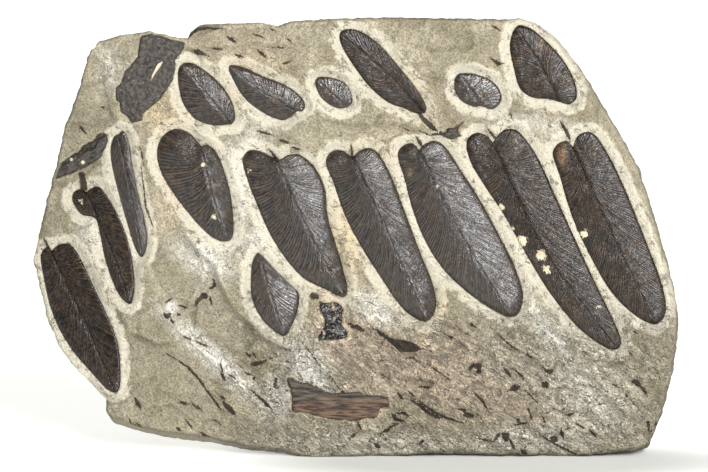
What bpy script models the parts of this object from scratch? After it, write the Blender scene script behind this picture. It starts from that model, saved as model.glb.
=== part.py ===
"""Fossil fern plate: a standing slab of mudstone with seed-fern leaflets lying in its front face.

The stone stands on a small flat base. Its front face leans back a little and holds sixteen
leaflets, a torn piece of leaf, a twig, a piece of wood, a bud and a patch of coal, each in a
shallow pocket of its own. The leaflets sit at the foot of a sloping, cleaned band of stone.

The face has its own plane: u runs right, v runs up the slope from the floor, and the height n
stands out towards the viewer. All sizes below are in millimetres in that plane.
"""
import math

import bmesh
import bpy
import numpy as np
from mathutils import Vector, noise

MM = 0.001

# The slab
LEAN = math.radians(8.0)          # the face leans back from upright
FOOT_Y = -22.34                   # where the foot of the face plane stands, front to back
BACK_FOOT_Y = 22.86               # the back face at the floor
BACK_SLOPE = -0.11                # and how it comes forward towards the top
BACK_SCALE = (0.95, 0.93)         # the back outline is a little smaller than the front one
BACK_CENTRE = (1.0, 51.0)
BACK_TREAD = 1.7                  # height of the steps that the back broke along
BACK_DROP = 1.5                   # the back outline lies this much lower than the front one
BACK_FOOT_DROP = 4.0              # and its lowest edge lower still
SIDE_SWELL = 0.6                  # how far the broken sides go in, halfway back
TOP_SWELL = 0.8
SIDE_ROUGHNESS = 0.9
BASE_DROP = 3.0                   # the underside bulges this far, and is then cut flat
EDGE_SHARE = 0.08                 # the edges of front and back round off over this share
FRONT_EDGE_FALL = 0.9
BACK_EDGE_FALL = 3.5
GRID = (60, 42)                   # facets across and up the blank before it is thinned
DEPTH_RINGS = 7
STONE_FACETS = 3700               # triangles left in the blank before the pockets

# Leaflets and their pockets
GAP = 0.32                        # free space round and under every piece
LEAF_UNDER = -2.1                 # underside of a leaflet, below the face
LEAF_EDGE = -0.85                 # margin of a leaflet, at the foot of the cleaned band
LEAF_CROWN = 0.075                # crown height as a share of the leaflet's width
MIDRIB_DIP = 0.55                 # how far the midrib lies under the crown
CROWDING = 0.06                   # outline points crowd towards the base and the tip
BAND_WIDTH = 2.1                  # the cleaned band slopes up over this width
BAND_TOP = 0.25
CUT_TOP = 5.0                     # cutters stand clear above the stone
REMAINS_EDGE = 0.35               # the other remains stand this far out of the face
CURVE_STEPS = 12                  # places on a rounded outline between two given points

# Outline of the face, in four sides that meet at its corners
TOP_SIDE = [(-66.25, 102.25), (-63.75, 104.5), (-58.75, 106), (-51.25, 107), (-44.25, 105.25),
            (-41.75, 105.25), (-41.25, 106.5), (-38.75, 108.5), (-31.25, 109), (-23.25, 109.25),
            (-19.5, 108.25), (-16.25, 109.5), (-1.25, 110.25), (8.75, 110.5), (23.75, 110.25),
            (37.5, 110), (41.25, 110.25), (45, 109.25), (47.5, 108)]
RIGHT_SIDE = [(74, 3.5), (77, 11), (79.6, 21), (80.9, 29.75), (81.15, 36), (79.65, 44.75),
              (76.6, 56), (73.95, 64.75), (71.35, 72.75), (66.25, 81.75), (61.25, 90.25),
              (56.25, 98.25), (51.25, 104.75), (47.5, 108)]
LEFT_SIDE = [(-62.75, 12.25), (-62.25, 15.25), (-64.9, 17.4), (-70.4, 22.9), (-74.5, 28.2),
             (-77.4, 34.75), (-79.9, 44.75), (-81.15, 49.75), (-79.9, 54.75), (-77.7, 64.75),
             (-75.15, 73.5), (-73.5, 81), (-69.6, 91.75), (-66.25, 102.25)]
BOTTOM_SIDE = [(-62.75, 12.25), (-61.25, 10.25), (-54.25, 8), (-47.5, 6.5), (-36.75, 5.25),
               (-26.25, 2.75), (-18.75, 2), (-13.75, 0.25), (-6.25, 0), (2.75, 0.75), (7.5, 0.25),
               (18.75, 1.5), (31.25, 1), (43.75, 1), (53.75, 0.5), (61.25, 1.25), (71.25, 2.5),
               (74, 3.5)]

# The face turns away left of this crease, given as u at each v
CREASE_V = [0, 16, 47, 65, 82, 103]
CREASE_U = [-57, -57.5, -56.25, -52.5, -56.25, -65.5]
CREASE_WIDTH = 3.0
FACET_TURN = math.tan(math.radians(24))

# Rounded edges of the face: how far each falls, and over what width
RIGHT_FALL, RIGHT_WIDTH = 4.5, 4.0
TOP_FALL, TOP_WIDTH = 1.6, 3.0
FOOT_WIDTH = 9.0

# Broad lumps and hollows: centre, half sizes, turn in degrees, height
LUMPS = [
    ((-48.5, 47.0), (6.5, 10.0), -12, 1.0),     # swelling below the first leaflet
    ((-14.5, 100.0), (9.0, 4.5), 0, 1.5),       # knob at the top edge
    ((-13.0, 81.5), (5.0, 4.5), 20, 1.4),       # knob over the second leaflet
    ((-24.0, 15.0), (16.0, 2.8), -35, 0.9),     # pale ridge running down to the right
    ((-10.5, 22.5), (6.0, 6.0), -60, 0.6),      # pale tongue over the wood
    ((-58.0, 11.5), (6.0, 4.0), 0, 2.0),        # knob at the lower left corner
    ((-50.0, 22.0), (9.0, 7.0), -20, -0.9),     # hollow at the lower left
    ((30.0, 24.0), (17.0, 6.0), 12, 1.0),       # swelling below the long leaflets
    ((52.0, 13.0), (14.0, 5.0), 8, 1.0),
    ((12.0, 26.0), (7.0, 4.0), -25, -0.8),
    ((3.0, 84.0), (7.0, 3.0), 0, -0.9),
    ((62.0, 22.0), (7.0, 6.0), 30, -1.1),
    ((30.0, 102.0), (9.0, 5.0), 0, 0.9),
    ((-59.5, 101.0), (5.0, 3.2), -25, -0.9),
    ((-59.3, 35.3), (1.6, 2.6), 15, -1.3),
    ((33.0, 12.0), (4.0, 3.0), 0, -0.9),
    ((26.0, 9.0), (3.0, 5.0), 20, 0.6),
    ((-6.0, 24.0), (5.0, 4.0), -30, 0.5),
]

# Ledges: the stone falls away on the right hand of each path, then levels out. After the path
# come the drop, how wide the slope is, and how far the drop reaches.
LEDGES = [
    ([(-45.75, 61), (-41.25, 54.75), (-37.25, 50.75), (-34.75, 48.75), (-33.25, 43.5),
      (-30, 37.75), (-23.25, 31), (-16.25, 27.75), (-13.75, 27.25)], 2.2, 2.0, 16.0),
    ([(-42.25, 56.75), (-38, 50.75), (-37.5, 47.25), (-39.25, 42.25), (-41.75, 37.75),
      (-44.75, 35.25)], 1.3, 2.2, 12.0),
    ([(-14.75, 29.75), (-12.5, 27.25), (-9.25, 24.25), (-6.25, 20.75), (-3.75, 17.25)],
     0.8, 0.7, 9.0),
    ([(1.5, 35), (5.5, 31.5), (10.5, 27.5), (16.5, 26.5), (23, 28), (29, 33)], 0.9, 0.8, 10.0),
    ([(-3, 41.5), (-0.75, 37.5), (0, 33.5), (1.75, 32.75)], 1.3, 0.8, 9.0),
    ([(-66.25, 102.75), (-61.25, 98.25), (-59.5, 94.75), (-61, 89)], 0.9, 0.8, 8.0),
    ([(9, 20), (22, 23), (40, 16), (58, 20)], 0.8, 0.9, 8.0),
    ([(20, 8), (36, 10), (52, 6)], 0.8, 0.8, 6.0),
    ([(30, 32), (36, 25), (45, 20), (56, 12)], 0.7, 1.0, 8.0),
]
LEDGE_END = 0.15                  # each ledge fades over this share of its path at both ends

# Below this line the face turns down to the lower left
LOW_FACET = [(-51, 38.5), (-43, 29.5), (-34.5, 24.5), (-24.5, 17.5), (-15, 8.5), (-10, 2)]
LOW_TURN = math.tan(math.radians(9))


# Curves and distances in the plane of the face
def along(points, share):
    """Places at the given shares of a polyline's length."""
    points = np.asarray(points, float)
    steps = np.hypot(*np.diff(points, axis=0).T)
    reach = np.concatenate([[0], np.cumsum(steps)]) / steps.sum()
    return np.stack([np.interp(share, reach, points[:, k]) for k in (0, 1)], axis=-1)


def rounded(points, count=CURVE_STEPS):
    """A smooth curve through the points (Catmull-Rom), as a dense polyline."""
    points = np.asarray(points, float)
    first = 2 * points[0] - points[1]
    last = 2 * points[-1] - points[-2]
    pegs = np.vstack([first, points, last])
    t = np.linspace(0, 1, count, endpoint=False)[:, None]
    runs = []
    for a, b, c, d in zip(pegs, pegs[1:], pegs[2:], pegs[3:]):
        runs.append(0.5 * (2 * b + (c - a) * t + (2 * a - 5 * b + 4 * c - d) * t ** 2
                           + (3 * b - a - 3 * c + d) * t ** 3))
    return np.vstack(runs + [points[-1:]])


def near_path(u, v, path):
    """Distance to a polyline, which side a place is on, and how far along it lies."""
    path = np.asarray(path, float)
    best = np.full(np.shape(u), 1e9)
    side = np.zeros(np.shape(u))
    share = np.zeros(np.shape(u))
    count = len(path) - 1
    for k in range(count):
        (ax, ay), (bx, by) = path[k], path[k + 1]
        dx, dy = bx - ax, by - ay
        t = np.clip(((u - ax) * dx + (v - ay) * dy) / (dx * dx + dy * dy), 0, 1)
        away = np.hypot(u - ax - t * dx, v - ay - t * dy)
        closer = away < best
        best = np.where(closer, away, best)
        side = np.where(closer, np.sign(dy * (u - ax) - dx * (v - ay)), side)
        share = np.where(closer, (k + t) / count, share)
    return best, side, share


def outward(points):
    """The outward direction at each corner of a closed outline."""
    ahead = np.roll(points, -1, axis=0) - points
    ahead = ahead / np.hypot(*ahead.T)[:, None]
    mean = ahead + np.roll(ahead, 1, axis=0)
    mean = mean / np.hypot(*mean.T)[:, None]
    u, v = points.T
    turn = np.sign(np.sum(u * np.roll(v, -1) - v * np.roll(u, -1)))
    return turn * np.stack([mean[:, 1], -mean[:, 0]], axis=1)


def ease(x):
    """A smooth rise from 0 to 1."""
    x = np.clip(x, 0, 1)
    return x * x * (3 - 2 * x)


# Height of the face
def broad_height(u, v):
    """The large form of the face: the turned left facet, the rounded right side, the foot."""
    crease = np.interp(v, CREASE_V, CREASE_U) - u
    turned = 0.5 * (crease + np.hypot(crease, CREASE_WIDTH)) * FACET_TURN
    right_edge = np.interp(v, [p[1] for p in RIGHT_SIDE], [p[0] for p in RIGHT_SIDE]) - u
    rounded_side = RIGHT_FALL * np.clip(1 - right_edge / RIGHT_WIDTH, 0, 1.3) ** 2
    top_edge = np.interp(u, [p[0] for p in TOP_SIDE], [p[1] for p in TOP_SIDE]) - v
    rounded_top = TOP_FALL * np.clip(1 - top_edge / TOP_WIDTH, 0, 1.3) ** 2 * ease((u + 10) / 30)
    foot = 0.10 * np.clip(FOOT_WIDTH - v, 0, FOOT_WIDTH) ** 1.6
    return -turned - rounded_side - rounded_top - foot


def lump_height(u, v):
    total = np.zeros(np.shape(u))
    for (cu, cv), (ru, rv), turn, height in LUMPS:
        a = math.radians(turn)
        x = ((u - cu) * math.cos(a) + (v - cv) * math.sin(a)) / ru
        y = (-(u - cu) * math.sin(a) + (v - cv) * math.cos(a)) / rv
        total = total + height * np.exp(-(x * x + y * y))
    return total


def ledge_height(u, v):
    total = np.zeros(np.shape(u))
    for path, drop, slope, reach in LEDGES:
        away, side, share = near_path(u, v, path)
        ends = ease(share / LEDGE_END) * ease((1 - share) / LEDGE_END)
        fall = np.where(side > 0, (1 - np.exp(-away / slope)) * ease(1 - away / reach), 0)
        total = total - drop * fall * ends
    away, side, share = near_path(u, v, LOW_FACET)
    turned = np.where(side > 0, away * LOW_TURN * ease(share / 0.1) * ease((1 - share) / 0.1), 0)
    return total - turned


def rough(u, v, size, seed):
    """Smooth lumpy noise, about one lump in each size."""
    places = zip(np.ravel(u), np.ravel(v))
    values = [noise.noise(Vector((a / size, b / size, seed))) for a, b in places]
    return np.reshape(values, np.shape(u))


def terraced(height, step):
    """Turns a smooth height into flat treads with short risers, as split bedding breaks."""
    tread = np.floor(height / step)
    rise = height / step - tread
    return (tread + ease((rise - 0.7) / 0.3)) * step


def face_height(u, v):
    fine = 0.6 * rough(u, v, 11.0, 3.0) + 0.35 * rough(u, v, 4.5, 8.0)
    return broad_height(u, v) + lump_height(u, v) + ledge_height(u, v) + fine


def to_world(u, v, n):
    """From the plane of the face to the standing plate, in metres."""
    y = FOOT_Y + v * math.sin(LEAN) - n * math.cos(LEAN)
    z = v * math.cos(LEAN) + n * math.sin(LEAN)
    return Vector((u * MM, y * MM, z * MM))


# Leaflets: base, tip, sideways bow of the midrib, and the left and right margins of each,
# as seen with the base at hand, from the notch at the base round to the tip
LEAFLETS = {
    "leaflet_middle_1": dict(base=(-38.5, 78.25), tip=(-31.75, 54.5), bow=-0.6,
        left=[(-41.25, 81.25), (-45, 82.5), (-48.25, 80.5), (-49.5, 76), (-47.5, 69.75),
              (-41.25, 61), (-35.75, 55.5)],
        right=[(-36.75, 78.5), (-34.75, 76.75), (-33, 72.75), (-31.25, 66.75), (-30.5, 61),
               (-30.5, 56.25)]),
    "leaflet_middle_2": dict(base=(-20, 75.25), tip=(-2.75, 40.5), bow=-0.5,
        left=[(-21.25, 75.75), (-23.25, 76.75), (-26.25, 77.25), (-28, 75.25), (-27.5, 71.75),
              (-24.75, 64.25), (-20.25, 54.5), (-13.75, 46), (-7, 42.25)],
        right=[(-18.5, 75), (-16.75, 76), (-13.75, 76), (-10, 72.75), (-7.5, 67.25),
               (-6.75, 60.25), (-3.75, 50.25), (-2, 43.25)]),
    "leaflet_middle_3": dict(base=(-0.5, 75.5), tip=(18.25, 34.5), bow=0.0,
        left=[(-1.75, 76.25), (-3.75, 77.25), (-6, 76.75), (-7.25, 74), (-5.25, 68.75),
              (-2.5, 61), (1.5, 53.25), (6.25, 45.75), (11.25, 38.5), (15, 35.25)],
        right=[(0.75, 76.75), (3, 77.75), (5.75, 76.5), (9, 70.75), (12.5, 61.75),
               (16.25, 51.75), (19.5, 43.5), (20.25, 38)]),
    "leaflet_middle_4": dict(base=(16, 77.25), tip=(39.25, 35.5), bow=-1.0,
        left=[(14.5, 78.75), (12.25, 78.5), (10.75, 76), (12.5, 69.75), (14.5, 62.25),
              (17.5, 54.75), (22.25, 47.25), (28.75, 41.25), (35, 37)],
        right=[(17.5, 78.75), (20, 79.5), (22.75, 77.75), (26.75, 71.75), (31.25, 64.75),
               (35.75, 56.5), (39.75, 48.5), (42, 41.5), (41.25, 37)]),
    "leaflet_middle_5": dict(base=(34.5, 79), tip=(65.5, 27.5), bow=-2.6,
        left=[(33, 80.75), (30.25, 81.5), (28, 79.5), (28.75, 74.75), (32.5, 68.25),
              (37.5, 60.75), (43.25, 50.5), (49, 41.25), (55.5, 33.25), (62, 28.25)],
        right=[(36, 81.25), (38.25, 82.5), (41.25, 81.5), (45.75, 75.25), (50.25, 65.5),
               (54.75, 55.75), (59.75, 44.75), (64.25, 35.5), (66.5, 29.75)]),
    "leaflet_middle_6": dict(base=(54.5, 78), tip=(75.25, 33.75), bow=-0.3,
        left=[(53, 79.5), (50.75, 78.75), (49.5, 76.25), (51.25, 70.75), (54.5, 60.25),
              (58.75, 51), (64, 42), (70, 36)],
        right=[(55.75, 80.75), (58.25, 81.75), (60.75, 80.25), (64.75, 73.5), (69, 64),
               (73.25, 53.25), (76.75, 43.75), (77.75, 37)]),
    "leaflet_upper_1": dict(base=(-30.75, 83.75), tip=(-43.25, 98.75), bow=0.0,
        left=[(-35.5, 83.5), (-39.75, 85), (-42.75, 88.5), (-44, 92.75), (-44.25, 96.75)],
        right=[(-30, 85.5), (-30.75, 89), (-33.25, 93.25), (-36.75, 96.5), (-40.5, 98.9)]),
    "leaflet_upper_2": dict(base=(-14.5, 87), tip=(-31.5, 98.25), bow=-0.6,
        left=[(-16.25, 85.5), (-18, 84.75), (-21.25, 85.75), (-25, 88), (-28, 90.75),
              (-30.5, 95)],
        right=[(-13, 87.1), (-12.5, 88.75), (-14.25, 91.25), (-18, 93.75), (-23.25, 95.75),
               (-28, 98)]),
    "leaflet_upper_3": dict(base=(-2, 88), tip=(-9.75, 95), bow=0.0,
        left=[(-4.25, 87.75), (-7.25, 89.25), (-9.25, 91.75)],
        right=[(-0.75, 89), (-1, 91.5), (-3, 94.25), (-7, 95.5)]),
    "leaflet_upper_4": dict(base=(17.5, 86.5), tip=(-3.75, 106.5), bow=0.8,
        left=[(15.25, 86.5), (12.25, 87.75), (8.25, 89.25), (3.75, 93), (-0.25, 98.25),
              (-3.25, 103.25)],
        right=[(17.75, 88.25), (15.25, 92.75), (11, 98), (6.5, 103.25), (1.75, 106.75),
               (-1.5, 107.5)]),
    "leaflet_upper_5": dict(base=(31.75, 88.25), tip=(26.25, 96.4), bow=0.0,
        left=[(29.25, 88.25), (26.5, 89.75), (25, 92.25), (25, 95)],
        right=[(34.25, 87.5), (36.25, 89), (36.5, 91.5), (34.25, 94.5), (30, 96.25)]),
    "leaflet_upper_6": dict(base=(51.25, 89.25), tip=(40.25, 108), bow=0.6,
        left=[(48.5, 90), (44.25, 90.5), (41.25, 92.75), (39.75, 97.75), (38.75, 103.5)],
        right=[(53.75, 88.75), (55.5, 90.75), (54.5, 95.5), (51.5, 100.5), (47, 105.25),
               (43.25, 108)]),
    "leaflet_left_large": dict(base=(-76.5, 51.75), tip=(-60, 16.5), bow=0.4,
        left=[(-77.4, 52.75), (-78.6, 52.25), (-79.2, 50), (-78.4, 45.25), (-76.7, 38),
              (-74, 31.75), (-70.3, 26.2), (-66.1, 21.5), (-62.4, 17.6)],
        right=[(-75.5, 52.9), (-73.75, 53.75), (-71.25, 53.25), (-68.75, 49.5),
               (-65.75, 43.25), (-62.25, 36), (-59.5, 29), (-58.75, 21.75), (-59, 17.75)]),
    "leaflet_left_middle": dict(base=(-67.5, 66.75), tip=(-56.5, 38.75), bow=0.8,
        left=[(-69, 67.5), (-70.75, 66.75), (-71, 64.5), (-68.75, 61.25), (-65.25, 60.25),
              (-64, 56.5), (-62.5, 49.5), (-59.5, 41.75)],
        right=[(-66.25, 67.75), (-64.25, 68), (-61.75, 65), (-58.5, 59), (-56.25, 52),
               (-55.25, 44.75), (-55.5, 40.5)]),
    "leaflet_left_narrow": dict(base=(-59.25, 81.25), tip=(-53.25, 50.5), bow=0.3,
        left=[(-60.5, 80.5), (-61.25, 77.25), (-60.75, 72.75), (-59.25, 66.75),
              (-57.25, 59.75), (-55, 52.75)],
        right=[(-58, 82), (-56.75, 79.5), (-55.75, 73.5), (-54.25, 66), (-52.75, 60),
               (-52, 54.25)]),
    "leaflet_centre_small": dict(base=(-24.25, 51.75), tip=(-17.75, 30.75), bow=0.0,
        left=[(-25.5, 49.75), (-26, 45.25), (-25.75, 40.25), (-23.75, 35.75),
              (-20.75, 32.5)],
        right=[(-22, 49.5), (-18.5, 45.75), (-15, 42.5), (-14, 40.75), (-14.5, 36.75),
               (-16, 33)]),
}

# Other remains: how high the middle is crowned over the edge, and the outline
REMAINS = {
    "leaf_fragment": dict(crown=0.5, outline=[
        (-53.5, 105.8), (-51, 106.25), (-45, 104.7), (-42.3, 104.3), (-43.3, 101.8),
        (-45, 99.75), (-44.9, 98.1), (-45.5, 94.75), (-48.75, 89.75), (-53, 86.5),
        (-53.3, 84.75), (-55.8, 84), (-56.75, 85.6), (-58.75, 86.8), (-59, 89),
        (-60, 89.75), (-60, 92.75), (-58.3, 94.3), (-57.5, 96.8), (-54.25, 100.6),
        (-54.25, 101.8)]),
    "twig": dict(crown=0.9, outline=[
        (-75.3, 70.5), (-74, 74), (-71.25, 76.1), (-69.25, 77), (-68.25, 78.5),
        (-65.25, 79.9), (-64.75, 81), (-63.75, 81.6), (-62.5, 81.4), (-61.9, 80.4),
        (-61.95, 79.25), (-63.25, 76.75), (-64, 75.25), (-67.25, 73.25), (-71.25, 71.5),
        (-75.2, 70.2)]),
    "wood_fragment": dict(crown=0.4, outline=[
        (-17.25, 20.25), (-15.5, 20), (-13.75, 18.9), (-11.75, 19), (-8.75, 17.25),
        (-5.25, 16.1), (-3.75, 16.5), (1, 16.9), (2, 16.1), (8.25, 15.4), (8.6, 14.25),
        (8.5, 13), (6.5, 12.75), (5.5, 10.5), (2.25, 10), (0.5, 9.4), (-6.25, 10.1),
        (-12, 11.5), (-15.75, 12.1), (-15.6, 14), (-16.1, 17.75)]),
    "bud": dict(crown=0.9, outline=[
        (21.1, 82), (22.3, 81.7), (23.25, 82.75), (25, 82.8), (26.1, 83.6), (25.7, 82.3),
        (26.1, 81.5), (26.8, 80.8), (24.25, 79.9), (23, 80.1), (21, 81.2)]),
    "coal_patch": dict(crown=0.4, outline=[
        (-9, 39.5), (-7, 38.75), (-5.6, 39.3), (-3.75, 38.9), (-3, 37.5), (-3.25, 33.5),
        (-1.75, 31.5), (-1.6, 30.5), (-3.5, 29.9), (-9.1, 29.7), (-9.3, 30.5),
        (-7.5, 33.5), (-7.5, 35), (-8.6, 37)]),
}


class Leaflet:
    """A leaflet's outline, its midrib, and the flat plane that it lies in."""

    def __init__(self, base, tip, bow, left, right):
        loop = rounded([base] + left + [tip] + right[::-1] + [base])
        at_tip = CURVE_STEPS * (len(left) + 1)
        self.left, self.right = loop[:at_tip + 1], loop[at_tip:][::-1]
        base, tip = np.array(base, float), np.array(tip, float)
        run = tip - base
        across = np.array([run[1], -run[0]]) / np.hypot(*run)
        if across[0] < 0:
            across = -across
        self.midrib = rounded([base, (base + tip) / 2 + bow * across, tip])
        length = np.hypot(*run)
        self.rows = 12 if length > 26 else 9 if length > 18 else 7
        self.width = 2 * abs((self.left - base) @ across).max()
        edge = self.ring(1.0)
        self.plane = fitted_plane(edge)

    def ring(self, spread, grow=0.0):
        """The margin drawn in towards the midrib by spread, or moved out by grow."""
        step = np.linspace(0, 1, self.rows + 1)
        share = step - CROWDING * np.sin(2 * math.pi * step)
        core = along(self.midrib, 0.07 + 0.88 * share)
        core = np.vstack([core, core[-2:0:-1]])
        edge = np.vstack([along(self.left, share), along(self.right, share)[-2:0:-1]])
        fan = (edge - core) / np.hypot(*(edge - core).T)[:, None]
        out = outward(edge)
        if grow > GAP:
            out = (out + fan) / np.hypot(*(out + fan).T)[:, None]
        return core + (edge - core) * spread + out * grow


def fitted_plane(points):
    """The plane n = a + b u + c v that lies closest to the broad face at the points."""
    u, v = points.T
    terms = np.stack([np.ones_like(u), u, v], axis=1)
    return np.linalg.lstsq(terms, broad_height(u, v), rcond=None)[0]


def raised(ring, plane, height):
    """A ring of world places at a height over a plane."""
    n = plane[0] + plane[1] * ring[:, 0] + plane[2] * ring[:, 1] + height
    return [to_world(u, v, h) for (u, v), h in zip(ring, n)]


# Building objects
def clear_scene():
    for old in list(bpy.data.objects):
        bpy.data.objects.remove(old, do_unlink=True)


def new_collection(name):
    made = bpy.data.collections.new(name)
    bpy.context.scene.collection.children.link(made)
    return made


def finish(name, work, collection, material=None):
    """Turns an edited mesh into an object of the collection."""
    bmesh.ops.recalc_face_normals(work, faces=work.faces)
    mesh = bpy.data.meshes.new(name)
    work.to_mesh(mesh)
    work.free()
    made = bpy.data.objects.new(name, mesh)
    collection.objects.link(made)
    if material:
        mesh.materials.append(material)
    return made


def drawn_off(work, faces):
    """Extrudes faces with their edges, and returns the new skin."""
    edges = {edge for face in faces for edge in face.edges}
    drawn = bmesh.ops.extrude_face_region(work, geom=faces + list(edges))
    return [item for item in drawn["geom"] if isinstance(item, bmesh.types.BMFace)]


def stacked(rings, close_top=True):
    """A solid drawn up from its underside by one extrusion for each further ring."""
    work = bmesh.new()
    top = work.faces.new([work.verts.new(p) for p in rings[0]])
    for ring in rings[1:]:
        top = drawn_off(work, [top])[0]
        for vert, place in zip(top.verts, ring):
            vert.co = place
    if not close_top:
        bmesh.ops.delete(work, geom=[top], context="FACES_ONLY")
        bmesh.ops.remove_doubles(work, verts=work.verts, dist=1e-6)
    return work


def material(name, colour, roughness):
    made = bpy.data.materials.new(name)
    made.use_nodes = True
    shader = made.node_tree.nodes["Principled BSDF"]
    shader.inputs["Base Color"].default_value = (*colour, 1.0)
    shader.inputs["Roughness"].default_value = roughness
    made.diffuse_color = (*colour, 1.0)
    return made


def cut(target, cutter):
    """Takes a cutter's form out of the target."""
    cutter.hide_render = True
    cutter.display_type = "WIRE"
    tool = target.modifiers.new("cut " + cutter.name, "BOOLEAN")
    tool.operation = "DIFFERENCE"
    tool.solver = "EXACT"
    tool.object = cutter


# The stone
def blank_place(across, up, depth):
    """A place on the stone blank: across and up from 0 to 1, depth 0 in front and 1 behind."""
    top, bottom = along(TOP_SIDE, across), along(BOTTOM_SIDE, across)
    left, right = along(LEFT_SIDE, up), along(RIGHT_SIDE, up)
    a, b = across[:, None], up[:, None]
    corners = ((1 - a) * (1 - b) * LEFT_SIDE[0] + a * (1 - b) * RIGHT_SIDE[0]
               + (1 - a) * b * LEFT_SIDE[-1] + a * b * RIGHT_SIDE[-1])
    u, v = ((1 - b) * bottom + b * top + (1 - a) * left + a * right - corners).T
    front_n = face_height(u, v)
    inner = np.minimum(np.minimum(across, 1 - across), np.minimum(up, 1 - up))
    edge = ease(inner / EDGE_SHARE)
    front_n = front_n - FRONT_EDGE_FALL * (1 - edge)
    front_y = FOOT_Y + v * math.sin(LEAN) - front_n * math.cos(LEAN)
    front_z = v * math.cos(LEAN) + front_n * math.sin(LEAN)
    worn = terraced(6.0 * rough(u, v, 42.0, 21.0), BACK_TREAD) + 0.9 * rough(u, v, 12.0, 5.0)
    back_x = BACK_CENTRE[0] + (u - BACK_CENTRE[0]) * BACK_SCALE[0]
    back_z = BACK_CENTRE[1] + (front_z - BACK_CENTRE[1]) * BACK_SCALE[1] - BACK_DROP
    back_y = BACK_FOOT_Y + BACK_SLOPE * back_z - BACK_EDGE_FALL * (1 - edge) + worn
    back_z = np.where(up < 0.05, back_z - BACK_FOOT_DROP, back_z)
    swell = np.sin(math.pi * depth)
    x = front_x_to_back(u, back_x, depth)
    y = front_y + (back_y - front_y) * depth
    z = front_z + (back_z - front_z) * depth
    side = SIDE_ROUGHNESS * rough(y + u, z, 9.0, 40.0)
    x = x - np.sign(u) * swell * (SIDE_SWELL + side) * (np.abs(across - 0.5) > 0.49)
    z = z - swell * (TOP_SWELL + side) * (up > 0.99)
    z = z - swell * BASE_DROP * (up < 0.01)
    return np.stack([x, y, z], axis=1) * MM


def front_x_to_back(front, back, depth):
    """Sides go in slowly at first, so that the front outline stays the widest."""
    return front + (back - front) * depth ** 1.3


def stone_blank(collection, stone_material):
    """A grid drawn back ring by ring into a block, then moved into the stone's shape."""
    work = bmesh.new()
    bmesh.ops.create_grid(work, x_segments=GRID[0], y_segments=GRID[1], size=0.5)
    ring_layer = work.verts.layers.float.new("ring")
    skin = list(work.faces)
    for ring in range(1, DEPTH_RINGS + 1):
        skin = drawn_off(work, skin)
        for face in skin:
            for vert in face.verts:
                vert[ring_layer] = ring / DEPTH_RINGS
    flat = np.array([vert.co[:2] for vert in work.verts]) + 0.5
    depth = np.array([vert[ring_layer] for vert in work.verts])
    flat = np.clip(flat, 0, 1)
    for vert, place in zip(work.verts, blank_place(flat[:, 0], flat[:, 1], depth)):
        vert.co = place
    stone = finish("stone", work, collection, stone_material)
    thin = stone.modifiers.new("thin", "DECIMATE")
    thin.ratio = STONE_FACETS / sum(len(p.vertices) - 2 for p in stone.data.polygons)
    thin.use_collapse_triangulate = True
    return stone


def floor_cutter(collection):
    """A block that cuts the underside flat, on the floor."""
    bpy.ops.mesh.primitive_cube_add(size=0.3, location=(0, 0, -0.15))
    block = bpy.context.object
    block.name = "cut_floor"
    for old in block.users_collection:
        old.objects.unlink(block)
    collection.objects.link(block)
    return block


# Leaflets and other remains
def leaflet_solid(name, leaf, collection, leaf_material):
    crown = LEAF_CROWN * leaf.width
    rings = [raised(leaf.ring(1.0), leaf.plane, LEAF_UNDER),
             raised(leaf.ring(1.0), leaf.plane, LEAF_EDGE),
             raised(leaf.ring(0.55), leaf.plane, LEAF_EDGE + crown),
             raised(leaf.ring(0.0), leaf.plane, LEAF_EDGE + crown - MIDRIB_DIP)]
    return finish(name, stacked(rings, close_top=False), collection, leaf_material)


def leaflet_cutter(name, leaf, collection):
    """The pocket under a leaflet, and the sloping band round it."""
    rings = [raised(leaf.ring(1.0, GAP), leaf.plane, LEAF_UNDER - GAP),
             raised(leaf.ring(1.0, GAP), leaf.plane, LEAF_EDGE),
             raised(leaf.ring(1.0, BAND_WIDTH), leaf.plane, BAND_TOP),
             raised(leaf.ring(1.0, BAND_WIDTH + 0.8), leaf.plane, CUT_TOP)]
    return finish("cut_" + name, stacked(rings), collection)


def remains_pieces(name, outline, crown, collection, cutters, piece_material):
    """A thin crowned piece and the pocket that it lies in."""
    outline = np.array(outline)
    plane = fitted_plane(outline)
    middle = outline.mean(axis=0)
    inner = middle + (outline - middle) * 0.6
    rings = [raised(outline, plane, LEAF_UNDER),
             raised(outline, plane, REMAINS_EDGE),
             raised(inner, plane, REMAINS_EDGE + crown)]
    piece = finish(name, stacked(rings), collection, piece_material)
    wide = outline + outward(outline) * GAP
    hollow = [raised(wide, plane, LEAF_UNDER - GAP), raised(wide, plane, CUT_TOP)]
    return piece, finish("cut_" + name, stacked(hollow), cutters)


def build():
    clear_scene()
    plate = new_collection("fossil_fern_plate")
    cutters = new_collection("cutters")
    mudstone = material("mudstone", (0.45, 0.41, 0.31), 0.9)
    coal_film = material("coal film", (0.035, 0.026, 0.02), 0.38)
    dull_coal = material("dull coal film", (0.06, 0.058, 0.045), 0.55)
    brown_wood = material("coalified wood", (0.11, 0.07, 0.045), 0.7)

    stone = stone_blank(plate, mudstone)
    cut(stone, floor_cutter(cutters))
    for name, shape in LEAFLETS.items():
        leaf = Leaflet(**shape)
        leaflet_solid(name, leaf, plate, coal_film)
        cut(stone, leaflet_cutter(name, leaf, cutters))
    finishes = {"coal_patch": coal_film, "wood_fragment": brown_wood}
    for name, shape in REMAINS.items():
        look = finishes.get(name, dull_coal)
        hollow = remains_pieces(name, shape["outline"], shape["crown"], plate, cutters, look)[1]
        cut(stone, hollow)


build()
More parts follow.
